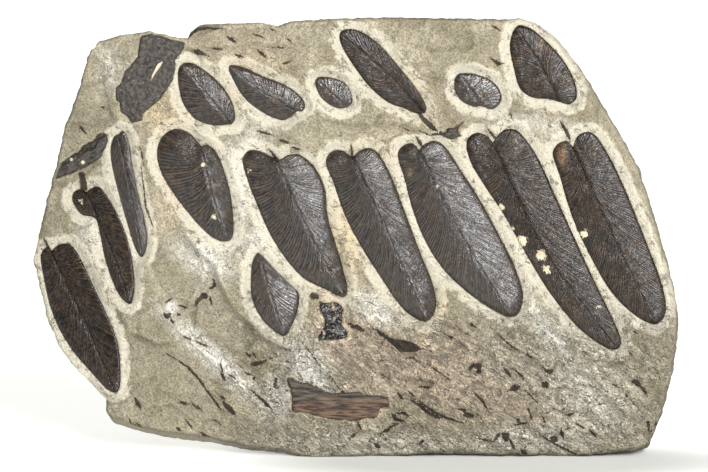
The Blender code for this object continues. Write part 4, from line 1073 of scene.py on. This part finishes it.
def leaf_height(leaf, place, vein, to_edge):
    """Height over the leaflet's plane, in mm: a low roof with the midrib sunk in its crest."""
    u, v = place[..., 0], place[..., 1]
    to_rib, side, share = near_path(u, v, leaf.midrib)
    out = to_rib / (to_rib + to_edge + 1e-6)
    roof = leaf.crown * leaf.width * (1 - 0.95 * out ** 1.15)
    width = GROOVE_WIDTH * (1 - 0.55 * share)
    groove = GROOVE_DEPTH * (1 - 0.4 * share) * np.exp(-(to_rib / width) ** 2)
    crumple = 0.26 * rough(u, v, 5.0, 90.0) + 0.12 * rough(u, v, 1.9, 93.0)
    crumple = crumple + 0.04 * rough(u, v, 0.8, 95.0)
    over_edge = roof + EDGE_RISE - groove + crumple + VEIN_HEIGHT * vein
    return LEAF_EDGE + over_edge * dome(to_edge, EDGE_FALL)


print("columns of a half leaflet:", len(COLUMNS))

# %% Specks of stone left on the leaflets, and cracks across them
SPECKS = [       # centre and radius
    ((-38, 73.5), 0.55), ((-35.3, 60.5), 0.6), ((41.8, 54.5), 1.3), ((46.5, 51), 1.2),
    ((48, 47.2), 1.0), ((36.3, 62.8), 0.8), ((39.4, 57.6), 0.5), ((57.3, 56.3), 1.0),
    ((20.5, 68), 0.4), ((-26.5, 72), 0.4), ((-68.7, 64.5), 0.5), ((60.9, 37.9), 0.5),
]
STAINS = [       # tan patches: centre, half sizes
    ((51.9, 76), (1.6, 3.6)), ((57.7, 68), (0.9, 1.0)), ((46.3, 103.5), (1.0, 2.4)),
    ((13.7, 71.5), (1.2, 1.8)),
]
CRACKS = [       # line and depth
    ([(-13.7, 48.6), (-9.5, 48.2), (-6.2, 47.4), (-2.5, 49)], 0.35),
    ([(44.7, 98.8), (46.5, 97.5), (48.7, 95.6)], 0.3),
    ([(-68.3, 64.3), (-66.6, 63.4), (-65, 62.2)], 0.25),
    ([(26, 58.5), (30, 57.5)], 0.15), ([(56.8, 46), (60.5, 43)], 0.15),
    ([(-40.3, 63), (-37.2, 61.5)], 0.15), ([(5.5, 52.5), (9, 51.5)], 0.15),
]


def spot_distance(u, v, spots):
    """Distance to the nearest round or oval spot, minus inside it."""
    best = np.full(np.shape(u), FAR)
    for (cu, cv), size in spots:
        ru, rv = np.broadcast_to(size, 2)
        best = np.minimum(best, (np.hypot((u - cu) / ru, (v - cv) / rv) - 1) * min(ru, rv))
    return best


def crack_depth(u, v):
    total = np.zeros(np.shape(u))
    for line, depth in CRACKS:
        away = near_path(u, v, line)[0]
        total = np.maximum(total, depth * np.exp(-(away / 0.28) ** 2))
    return total


print("specks:", len(SPECKS), "stains:", len(STAINS), "cracks:", len(CRACKS))

# %% Build one leaflet
FILM_DEPTH = 1.0
SPECK_RISE = 0.14


def close_below(piece, depth):
    """Draws the open edge straight back and closes it, so that the piece is a solid."""
    only(piece)
    edit("VERT", "SELECT")
    bpy.ops.mesh.remove_doubles(threshold=0.002 * MM)
    bpy.ops.mesh.select_all(action="DESELECT")
    bpy.ops.mesh.select_mode(type="EDGE")
    bpy.ops.mesh.select_non_manifold()
    back = (0, depth * math.cos(LEAN) * MM, -depth * math.sin(LEAN) * MM)
    bpy.ops.mesh.extrude_region_move(TRANSFORM_OT_translate={"value": back})
    bpy.ops.mesh.edge_face_add()
    bpy.ops.mesh.select_all(action="SELECT")
    bpy.ops.mesh.quads_convert_to_tris()
    bpy.ops.mesh.normals_make_consistent(inside=False)
    bpy.ops.mesh.select_all(action="DESELECT")
    leave_edit()
    piece.data.shade_smooth()


def path_length(path):
    return np.hypot(*np.diff(path, axis=0).T).sum()


def leaflet_piece(name, leaf):
    around = (path_length(leaf.left) + path_length(leaf.right)) / 2
    bundles = max(3, round(around / (2 * VEIN_SPACING)))
    rows, wide = bundles * BUNDLE, len(COLUMNS) - 1
    piece, row, column = grid_piece("coal_" + name, 2 * wide, rows)
    number = np.arange(rows + 1)[:, None] / ROWS_A_VEIN
    halves = []
    for margin, shift in ((leaf.left, 0.0), (leaf.right, 0.5)):
        place, t, vein = half_leaflet(leaf, margin, bundles, shift)
        to_edge = near_path(place[..., 0], place[..., 1], margin)[0]
        n = leaf_height(leaf, place, vein, to_edge)
        halves.append(np.stack([place[..., 0], place[..., 1], n, t, vein, number + 0 * t], axis=-1))
    sheet = np.hstack([halves[0][:, :0:-1], halves[1]])
    u, v, n, reach, vein, count = sheet[row, column].T
    specks, stains = spot_distance(u, v, SPECKS), spot_distance(u, v, STAINS)
    n = n + leaf.plane_height(u, v) - crack_depth(u, v) + SPECK_RISE * ease(-specks / 0.5)
    piece.data.vertices.foreach_set("co", to_world(u, v, n).ravel())
    kept = {"reach": reach, "vein": vein, "count": count, "speck": specks, "stain": stains}
    for attribute, values in kept.items():
        keep_values(piece, attribute, values)
    close_below(piece, FILM_DEPTH)
    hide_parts(name)
    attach(piece, "root")
    return piece


leaf_pieces = [leaflet_piece(name, leaf) for name, leaf in leaves.items()]
print("leaflet triangles:", sum(len(p.data.polygons) for p in leaf_pieces))

# %% [markdown]
# ## The other remains
# A torn leaf, a stem, a strip of wood, a bud and a patch of bright coal lie on the stone's own
# surface. Their outlines are torn, so each is cut out of a fine grid: the faces outside the
# outline are deleted and the rim is drawn onto it. Then the piece is raised a little, and given
# the relief of what it was: folds and cracks, fibres, wrinkles.

# %% Relief of the other remains
TWIG_TURN = math.radians(35)
TWIG_PARTING = [(-71.5, 76.3), (-68.5, 77.4), (-65.75, 77.7), (-64.6, 79.4)]
WOOD_SPLITS = (13.9, 12.2)      # where the wood has split along its fibres
LEAF_TEAR = [(-49.25, 98.75), (-48, 99.4), (-48.5, 98.25), (-50, 96.25), (-51, 94.5), (-50.6, 96)]
STONE_SPOTS = [((-71.25, 75), 0.4), ((-68.25, 74.25), 0.45)]


def remains_relief(name, u, v, to_edge):
    """Height over the stone's broad surface, in mm, for each kind of remains."""
    if name == "wood_fragment":
        level = v + 0.04 * u
        fibre = rough(u * 0.10, level, 0.42, 5.0)
        coarse = rough(u * 0.12, level, 1.5, 9.0)
        bent = 0.25 * rough(u, v, 5.0, 2.0)
        splits = sum(np.exp(-((level - place - bent) / 0.2) ** 2) for place in WOOD_SPLITS)
        return 0.35 + 0.22 * fibre + 0.4 * coarse - 0.35 * splits
    if name == "twig":
        along_stem = u * math.cos(TWIG_TURN) + v * math.sin(TWIG_TURN)
        across_stem = v * math.cos(TWIG_TURN) - u * math.sin(TWIG_TURN)
        ridges = rough(along_stem / 4.0, across_stem, 0.7, 6.0)
        parting = np.exp(-(near_path(u, v, TWIG_PARTING)[0] / 0.3) ** 2)
        bark = 0.5 * ridges + 0.3 * rough(u, v, 1.4, 8.0)
        return 0.3 + 0.9 * dome(to_edge, 1.7) + bark - 0.7 * parting
    if name == "bud":
        return 0.3 + 1.1 * dome(to_edge, 1.2) + 0.3 * rough(u, v, 1.0, 7.0)
    if name == "coal_patch":
        folds = np.abs(rough(u * 0.7 + v * 0.5, v - 0.4 * u, 1.7, 8.0))
        return 0.1 + 1.1 * folds + 0.3 * rough(u, v, 0.8, 3.0)
    flakes = terraced(0.9 * rough(u, v, 5.5, 12.0), 0.25)
    tear = ease(-signed_distance(u, v, LEAF_TEAR, 2.0) / 0.25)
    return 0.75 + flakes + 0.2 * rough(u, v, 1.3, 15.0) + 0.14 * rough(u, v, 0.6, 18.0) - 0.5 * tear


print("wood splits at", WOOD_SPLITS)

# %% Cut a piece of any outline out of a grid
REMAINS_STEP = {"leaf_fragment": 0.2, "twig": 0.17, "wood_fragment": 0.17, "bud": 0.12,
                "coal_patch": 0.14}
CUT_REACH = 3.0                 # how far off the outline a distance is still worked out
RIM_SUNK = 0.25                 # how far a rim lies under the stone's surface


def cut_grid(name, outline, step):
    """A grid with all that lies outside an outline deleted, and its rim drawn onto the outline."""
    low, high = outline.min(axis=0) - step, outline.max(axis=0) + step
    columns, rows = (int(count) for count in np.ceil((high - low) / step))
    piece = grid_piece(name, columns, rows)[0]
    edit("FACE", "DESELECT")
    leave_edit()
    flat = low + (vertex_places(piece.data)[:, :2] + 0.5) * (high - low)
    away = signed_distance(*flat.T, outline, CUT_REACH)
    piece.data.vertices.foreach_set("co", np.column_stack([flat, 0 * away]).ravel())
    outside = faces_where(piece.data, away > 0.45 * step, np.logical_or)
    select_only(piece, "polygons", outside)
    bpy.ops.object.mode_set(mode="EDIT")
    bpy.ops.mesh.delete(type="FACE")
    leave_edit()
    sides = np.empty(len(piece.data.loops), int)
    piece.data.loops.foreach_get("edge_index", sides)
    open_edges = np.bincount(sides, minlength=len(piece.data.edges)) == 1
    rim_corners = np.unique(edge_ends(piece.data)[open_edges])
    u, v = vertex_places(piece.data)[:, :2].T.copy()
    a, b = u[rim_corners], v[rim_corners]
    away, nudge = signed_distance(a, b, outline, CUT_REACH), 0.02
    slope_a = (signed_distance(a + nudge, b, outline, CUT_REACH) - away) / nudge
    slope_b = (signed_distance(a, b + nudge, outline, CUT_REACH) - away) / nudge
    u[rim_corners] = a - away * slope_a
    v[rim_corners] = b - away * slope_b
    return piece, u, v


def stone_on_remains(u, v):
    """Distance to the places where pale stone shows through, minus inside them."""
    return np.minimum(signed_distance(u, v, LEAF_TEAR, FAR), spot_distance(u, v, STONE_SPOTS))


def remains_piece(name):
    outline = np.array(REMAINS[name], float)
    piece, u, v = cut_grid("relic_" + name, outline, REMAINS_STEP[name])
    to_edge = near_path(u, v, np.vstack([outline, outline[:1]]))[0]
    ragged = 0.35 * np.exp(-to_edge / 0.6)
    u, v = u + ragged * rough(u, v, 0.8, 26.0), v + ragged * rough(u, v, 0.8, 29.0)
    relief = remains_relief(name, u, v, to_edge) + RIM_SUNK
    n = plain_height(u, v) + slow_swell(u, v) - RIM_SUNK + relief * dome(to_edge, 0.4)
    piece.data.vertices.foreach_set("co", to_world(u, v, n).ravel())
    keep_values(piece, "speck", stone_on_remains(u, v))
    close_below(piece, FILM_DEPTH)
    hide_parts(name)
    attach(piece, "root")
    return piece


relics = {name: remains_piece(name) for name in REMAINS}
print("remains triangles:", {name: len(p.data.polygons) for name, p in relics.items()})

# %% [markdown]
# ## Mudstone
# Mudstone is hardened clay and silt. Its grains are too fine to see, so it looks dull and even,
# with soft clouds of tint. Where the pen has cleaned it, the fresh stone is cream. Its material
# is built up in layers: tints, grain with painted shade in the hollows of its relief, cream bands,
# dark threads, then black scraps. Most layers are one of two looks, a colour laid over another or
# a shade, so each look is a function.

# %% Looks that the materials share
FACTOR, A, B = 0, 6, 7                     # input sockets of a colour Mix node
BEDDING_TURN = (0, math.radians(35), 0)    # the bedding slants down to the right


def start_material(name):
    """A new node material, its tree, its shader, and object coordinates in millimetres."""
    made = bpy.data.materials.new(name)
    made.use_nodes = True
    tree = made.node_tree
    coordinates = add_node(tree, "TexCoord").node.outputs["Object"]
    mm = add_node(tree, "Mapping", {"Vector": coordinates, "Scale": (1 / MM, 1 / MM, 1 / MM)})
    return made, tree, tree.nodes["Principled BSDF"], mm


def finish_material(tree, shader, colour, relief, depth, settings):
    """Gives the shader its colour and its fine relief, which looks about depth metres deep."""
    for socket, value in settings.items():
        shader.inputs[socket].default_value = value
    tree.links.new(colour, shader.inputs["Base Color"])
    bump = add_node(tree, "Bump", {"Height": relief, "Strength": 1.0, "Distance": depth})
    tree.links.new(bump, shader.inputs["Normal"])


def painted(tree, under, over, pattern, start, full, most=1.0):
    """A colour laid over another: none of it where the pattern is at start, the most at full."""
    share = add_node(tree, "MapRange", {"Value": pattern, "From Min": start, "From Max": full,
                                        "To Max": most})
    return add_node(tree, "Mix", {FACTOR: share, A: under, B: over}, data_type="RGBA")


def shaded(tree, colour, pattern, low, high, dark, light, share=1.0):
    """A colour times dark where the pattern is low, and times light where it is high."""
    shade = add_node(tree, "MapRange", {"Value": pattern, "From Min": low, "From Max": high,
                                        "To Min": dark, "To Max": light})
    return add_node(tree, "Mix", {FACTOR: share, A: colour, B: shade}, data_type="RGBA",
                    blend_type="MULTIPLY")


def bedded_noise(tree, mm, stretch, shift, size, detail, roughness, distortion):
    """Noise with lumps of about a size in mm, drawn out along the bedding."""
    drawn = add_node(tree, "Mapping", {"Vector": mm, "Rotation": BEDDING_TURN,
                                       "Location": (shift, shift, shift), "Scale": (stretch, 1, 1)},
                     vector_type="TEXTURE")
    return add_node(tree, "TexNoise", {"Vector": drawn, "Scale": 1 / size, "Detail": detail,
                                       "Roughness": roughness, "Distortion": distortion})


print("colour sockets of a Mix node:", A, B)

# %% Tints, grain and bands of the mudstone
TINT_COLOURS = {"olive": "#8e8771", "tan": "#d8c19a", "brown": "#bba893", "pale": "#dfdcd1"}


def stone_tints(tree, mm, blotches):
    """The wandering tints of the stone, from bluish white to purplish brown; one olive blob is partly
    painted shadow, and a few pale ones partly painted light.
    """
    clouds = add_node(tree, "TexNoise", {"Vector": mm, "Scale": 1 / 9.0, "Detail": 5.0})
    colour = painted(tree, "#8c836c", "#aca38d", clouds, 0.36, 0.64)
    for tint, shade in TINT_COLOURS.items():
        amount = add_node(tree, "Attribute", attribute_name=tint)
        uneven = add_node(tree, "Math", {0: amount, 1: blotches}, operation="MULTIPLY")
        colour = painted(tree, colour, shade, uneven, 0.08, 0.46)
    return colour


def stone_grain(tree, mm, colour, blotches, grain, busy):
    """Paints shade into the stone's colour, darker in hollows and lighter on crests, and darkens and
    lightens it by its grain and its bedding.
    """
    ridge = add_node(tree, "Attribute", attribute_name="ridge")
    # painted shade: darker in the hollows of the relief, lighter on its crests
    colour = shaded(tree, colour, ridge, -0.16, 0.16, 0.72, 1.16)
    colour = shaded(tree, colour, blotches, 0.36, 0.64, 0.92, 1.06)
    colour = shaded(tree, colour, grain, 0.39, 0.61, 0.60, 1.33)
    streaks = bedded_noise(tree, mm, 4.0, 0.0, 0.9, 5.0, 0.7, 0.8)
    return shaded(tree, colour, streaks, 0.36, 0.62, 0.92, 1.48, busy), streaks


def stone_band(tree, colour, blotches, grain, tan):
    """The cream of the cleaned bands, tan in places, with a crisp, irregular limit."""
    rim = add_node(tree, "Attribute", attribute_name="rim")
    ragged = add_node(tree, "Math", {0: blotches, 1: 3.4, 2: rim}, operation="MULTIPLY_ADD")
    cream = add_node(tree, "Mix", {FACTOR: tan, A: "#dad3c0", B: "#d3c09d"}, data_type="RGBA")
    cream = shaded(tree, cream, grain, 0.36, 0.64, 0.84, 1.10)
    return painted(tree, colour, cream, ragged, 4.5, 3.9, 0.8)


print("tints of the stone:", list(TINT_COLOURS))

# %% Threads and scraps of the mudstone
THREADS = [      # size of the noise, its shift, how wide the thread is, where threads start
    (3.4, 23.0, 0.022, 0.51), (1.7, 71.0, 0.034, 0.53), (0.9, 37.0, 0.045, 0.56),
]
THREAD_COATS = [(2.2, 0.35, "#d4cab3"), (1.0, 0.8, "#40382d")]    # width, strength and colour
SCATTER = [      # size of the noise, its stretch, the level past which it is black, its shift
    (2.6, 1.6, 0.735, 11.0), (1.2, 1.7, 0.70, 57.0), (0.55, 1.3, 0.705, 83.0),
]


def stone_threads(tree, mm, colour, blotches, tan, busy):
    """Thin dark hairs and cracks: places where a noise crosses its middle value."""
    zone = add_node(tree, "Math", {0: tan, 1: 0.10, 2: blotches}, operation="MULTIPLY_ADD")
    zone = add_node(tree, "Math", {0: busy, 1: 0.05, 2: zone}, operation="MULTIPLY_ADD")
    relief = 0.0
    for size, shift, reach, sparse in THREADS:
        hair = bedded_noise(tree, mm, 2.0, shift, size, 4.0, 0.6, 1.2)
        offset = add_node(tree, "Math", {0: hair, 1: 0.5}, operation="SUBTRACT")
        away = add_node(tree, "Math", {0: offset}, operation="ABSOLUTE")
        patchy = add_node(tree, "MapRange", {"Value": zone, "From Min": sparse,
                                             "From Max": sparse + 0.07})
        for wide, strength, shade in THREAD_COATS:
            thin = add_node(tree, "MapRange", {"Value": away, "From Min": wide * reach,
                                               "From Max": wide * reach / 4, "To Max": strength})
            share = add_node(tree, "Math", {0: thin, 1: patchy}, operation="MULTIPLY")
            colour = add_node(tree, "Mix", {FACTOR: share, A: colour, B: shade}, data_type="RGBA")
        groove = add_node(tree, "MapRange", {"Value": away, "From Max": 0.06, "To Max": size})
        relief = add_node(tree, "Math", {0: relief, 1: groove}, operation="ADD")
    return colour, relief


def stone_scraps(tree, mm, colour, blotches, grain, streaks, busy):
    """Torn black scraps: those placed by eye, and a scatter where a ragged noise is highest."""
    scrap, side, half, flake = (add_node(tree, "Attribute", attribute_name=kept)
                                for kept in ("scrap", "scrap_side", "scrap_half", "flake"))
    off_line = add_node(tree, "Math", {0: side}, operation="ABSOLUTE")
    thin = add_node(tree, "Math", {0: off_line, 1: half}, operation="SUBTRACT")
    ended = add_node(tree, "Math", {0: scrap, 1: 0.3}, operation="SUBTRACT")
    line = add_node(tree, "Math", {0: thin, 1: ended}, operation="MAXIMUM")
    nearest = add_node(tree, "Math", {0: line, 1: flake}, operation="MINIMUM")
    torn = add_node(tree, "Math", {0: grain, 1: 1.1, 2: nearest}, operation="MULTIPLY_ADD")
    place = add_node(tree, "Math", {0: blotches, 1: 0.9, 2: torn}, operation="MULTIPLY_ADD")
    colour = painted(tree, colour, "#8a745e", place, 1.7, 1.1, 0.3)
    amount = add_node(tree, "MapRange", {"Value": place, "From Min": 1.06, "From Max": 0.96,
                                         "To Max": 0.95})
    for size, stretch, level, shift in SCATTER:
        field = bedded_noise(tree, mm, stretch, shift, size, 6.0, 0.7, 0.5)
        raised = add_node(tree, "Math", {0: busy, 1: 0.085, 2: field}, operation="MULTIPLY_ADD")
        spot = add_node(tree, "MapRange", {"Value": raised, "From Min": level,
                                           "From Max": level + 0.02, "To Max": 0.9})
        amount = add_node(tree, "Math", {0: amount, 1: spot}, operation="MAXIMUM")
    soot = painted(tree, "#1f1c18", "#443c31", streaks, 0.42, 0.6)
    return add_node(tree, "Mix", {FACTOR: amount, A: colour, B: soot}, data_type="RGBA")


print("layers of thread:", len(THREADS), "layers of scatter:", len(SCATTER))

# %% Mudstone material
def mudstone():
    made, tree, shader, mm = start_material("pale split mudstone")
    blotches = add_node(tree, "TexNoise", {"Vector": mm, "Scale": 1 / 2.4, "Detail": 5.0,
                                           "Roughness": 0.65, "Distortion": 0.4})
    grain = add_node(tree, "TexNoise", {"Vector": mm, "Scale": 1 / 0.5, "Detail": 4.0,
                                        "Roughness": 0.75})
    busy = add_node(tree, "Attribute", attribute_name="busy")
    tan = add_node(tree, "Attribute", attribute_name="tan")
    colour = stone_tints(tree, mm, blotches)
    colour, streaks = stone_grain(tree, mm, colour, blotches, grain, busy)
    colour = stone_band(tree, colour, blotches, grain, tan)
    colour, cracks = stone_threads(tree, mm, colour, blotches, tan, busy)
    colour = stone_scraps(tree, mm, colour, blotches, grain, streaks, busy)
    broken = add_node(tree, "Math", {0: cracks, 1: busy}, operation="MULTIPLY")
    relief = add_node(tree, "Math", {0: broken, 1: 0.3, 2: grain}, operation="MULTIPLY_ADD")
    finish_material(tree, shader, colour, relief, 0.0007,
                    {"Roughness": 0.88, "IOR": 1.5, "Specular IOR Level": 0.3})
    return made


stone.data.materials.append(mudstone())
print("mudstone nodes:", len(stone.data.materials[0].node_tree.nodes))

# %% [markdown]
# ## Coal film
# Each leaflet has turned to a film of bright coal, as smooth as dull glass, with an index of
# refraction of about 1.6. It looks near black, shines grey where it slopes to the light, and is
# brown where it is thin. Its gloss is sharp on the crests and dull in the grooves, and its colour
# is painted near black in the grooves, as painted shade. Some noise here is stretched along the
# veins, by reading the vein's number and the way out to the margin as coordinates. Stone left on
# the film is cream or tan.

# %% Coal film material
MARKS = [        # attribute, its two colours, strength, and how far inside it is full
    ("stain", "#2f241a", "#8a6d4c", 0.75, -1.0), ("speck", "#b8ab90", "#ddd2b8", 0.95, -0.1),
]
DULLER = ("middle_5", "middle_6", "upper_4", "upper_6", "left_large", "left_middle")


def finish_film(tree, shader, colour, pattern, relief, shine):
    """A gloss that is sharp on the crests of a pattern and dull in its grooves."""
    gloss = add_node(tree, "MapRange", {"Value": pattern, "To Min": 0.36, "To Max": 0.15})
    tree.links.new(gloss, shader.inputs["Roughness"])
    finish_material(tree, shader, colour, relief, 0.00014, {"IOR": 1.6, "Specular IOR Level": shine})


def coal_film(name, shine):
    made, tree, shader, mm = start_material(name)
    patches = add_node(tree, "TexNoise", {"Vector": mm, "Scale": 1 / 3.5, "Detail": 4.0})
    fine = add_node(tree, "TexNoise", {"Vector": mm, "Scale": 1 / 0.75, "Detail": 2.0,
                                       "Roughness": 0.6, "Distortion": 0.6})
    count, reach, vein = (add_node(tree, "Attribute", attribute_name=kept)
                          for kept in ("count", "reach", "vein"))
    out = add_node(tree, "Math", {0: reach, 1: 4.0}, operation="MULTIPLY")
    vein_place = add_node(tree, "CombineXYZ", {0: count, 1: out})
    streaks = add_node(tree, "TexNoise", {"Vector": vein_place, "Scale": 1.3, "Detail": 3.0,
                                          "Roughness": 0.6})
    mixed = add_node(tree, "Math", {0: fine, 1: 0.9, 2: streaks}, operation="MULTIPLY_ADD")
    # the vein's crest height weighs most in this pattern: the film is painted near black in the grooves
    # between veins and brown on their crests, as painted shade, besides its own mottled tone
    mixed = add_node(tree, "Math", {0: vein, 1: 0.28, 2: mixed}, operation="MULTIPLY_ADD")
    pattern = add_node(tree, "MapRange", {"Value": mixed, "From Min": 0.92, "From Max": 1.26})
    crests = painted(tree, "#382f27", "#443426", patches, 0.4, 0.6)
    colour = add_node(tree, "Mix", {FACTOR: pattern, A: "#070504", B: crests}, data_type="RGBA")
    torn = add_node(tree, "Math", {0: fine, 1: 2.6, 2: -1.3}, operation="MULTIPLY_ADD")
    for mark, dark, light, strength, within in MARKS:
        away = add_node(tree, "Attribute", attribute_name=mark)
        place = add_node(tree, "Math", {0: away, 1: torn}, operation="ADD")
        mealy = painted(tree, dark, light, fine, 0.4, 0.6)
        colour = painted(tree, colour, mealy, place, 0.10, within, strength)
    finish_film(tree, shader, colour, pattern, mixed, shine)
    return made


def wrinkled_coal():
    made, tree, shader, mm = start_material("bright coal, wrinkled, with stone in its folds")
    patches = add_node(tree, "TexNoise", {"Vector": mm, "Scale": 1 / 2.2, "Detail": 5.0})
    fine = add_node(tree, "TexNoise", {"Vector": mm, "Scale": 1 / 0.7, "Detail": 4.0,
                                       "Roughness": 0.7})
    stony = add_node(tree, "Math", {0: fine, 1: patches}, operation="MULTIPLY")
    colour = painted(tree, "#0b0806", "#8c7a66", stony, 0.31, 0.35)
    shiny = add_node(tree, "MapRange", {"Value": fine, "From Min": 0.35, "From Max": 0.65})
    finish_film(tree, shader, colour, shiny, fine, 0.5)
    return made


bright_film = coal_film("bright coal film, veined", 0.5)
brown_film = coal_film("brown coal film, veined, thinner and duller", 0.24)
for piece in leaf_pieces:
    piece.data.materials.append(brown_film if piece.name.endswith(DULLER) else bright_film)
relics["coal_patch"].data.materials.append(wrinkled_coal())
print("coal film on", len(leaf_pieces) + 1, "pieces")

# %% [markdown]
# ## Dull coal and fossil wood
# The torn leaf, the stem and the bud are a duller, greyer coal, granular, with cream flecks of
# stone. The wood kept its fibres: grey-brown along its top, with red-brown stripes below.

# %% Dull coal and wood materials
def dull_coal():
    made, tree, shader, mm = start_material("dull charcoal, granular")
    mottle = add_node(tree, "TexNoise", {"Vector": mm, "Scale": 1 / 0.9, "Detail": 4.0,
                                         "Roughness": 0.7})
    fleck = add_node(tree, "TexNoise", {"Vector": mm, "Scale": 1 / 0.8, "Detail": 5.0,
                                        "Roughness": 0.7})
    bare = add_node(tree, "Attribute", attribute_name="speck")
    colour = painted(tree, "#0b0907", "#463e34", mottle, 0.42, 0.6)
    colour = painted(tree, colour, "#9c8b76", fleck, 0.63, 0.68, 0.8)
    colour = painted(tree, colour, "#cfc4a8", bare, 0.10, -0.10)
    finish_material(tree, shader, colour, mottle, 0.0006, {"Roughness": 0.42, "IOR": 1.6})
    return made


def fossil_wood():
    made, tree, shader, mm = start_material("fossil wood, dry and fibrous")
    drawn = add_node(tree, "Mapping", {"Vector": mm, "Rotation": (0, math.radians(4), 0),
                                       "Scale": (0.12, 1, 1)})
    fibres = add_node(tree, "TexNoise", {"Vector": drawn, "Scale": 1 / 0.6, "Detail": 5.0,
                                         "Roughness": 0.65})
    grey = painted(tree, "#14110d", "#5a5043", fibres, 0.4, 0.6)
    red = painted(tree, "#20160f", "#6f5744", fibres, 0.4, 0.6)
    height = add_node(tree, "SeparateXYZ", {0: drawn}).node.outputs["Z"]
    colour = painted(tree, grey, red, height, 15.5, 13.5)
    finish_material(tree, shader, colour, fibres, 0.0005, {"Roughness": 0.7})
    return made


grey_coal = dull_coal()
for name in ("leaf_fragment", "twig", "bud"):
    relics[name].data.materials.append(grey_coal)
relics["wood_fragment"].data.materials.append(fossil_wood())
print("materials:", [m.name for m in bpy.data.materials if m.users])
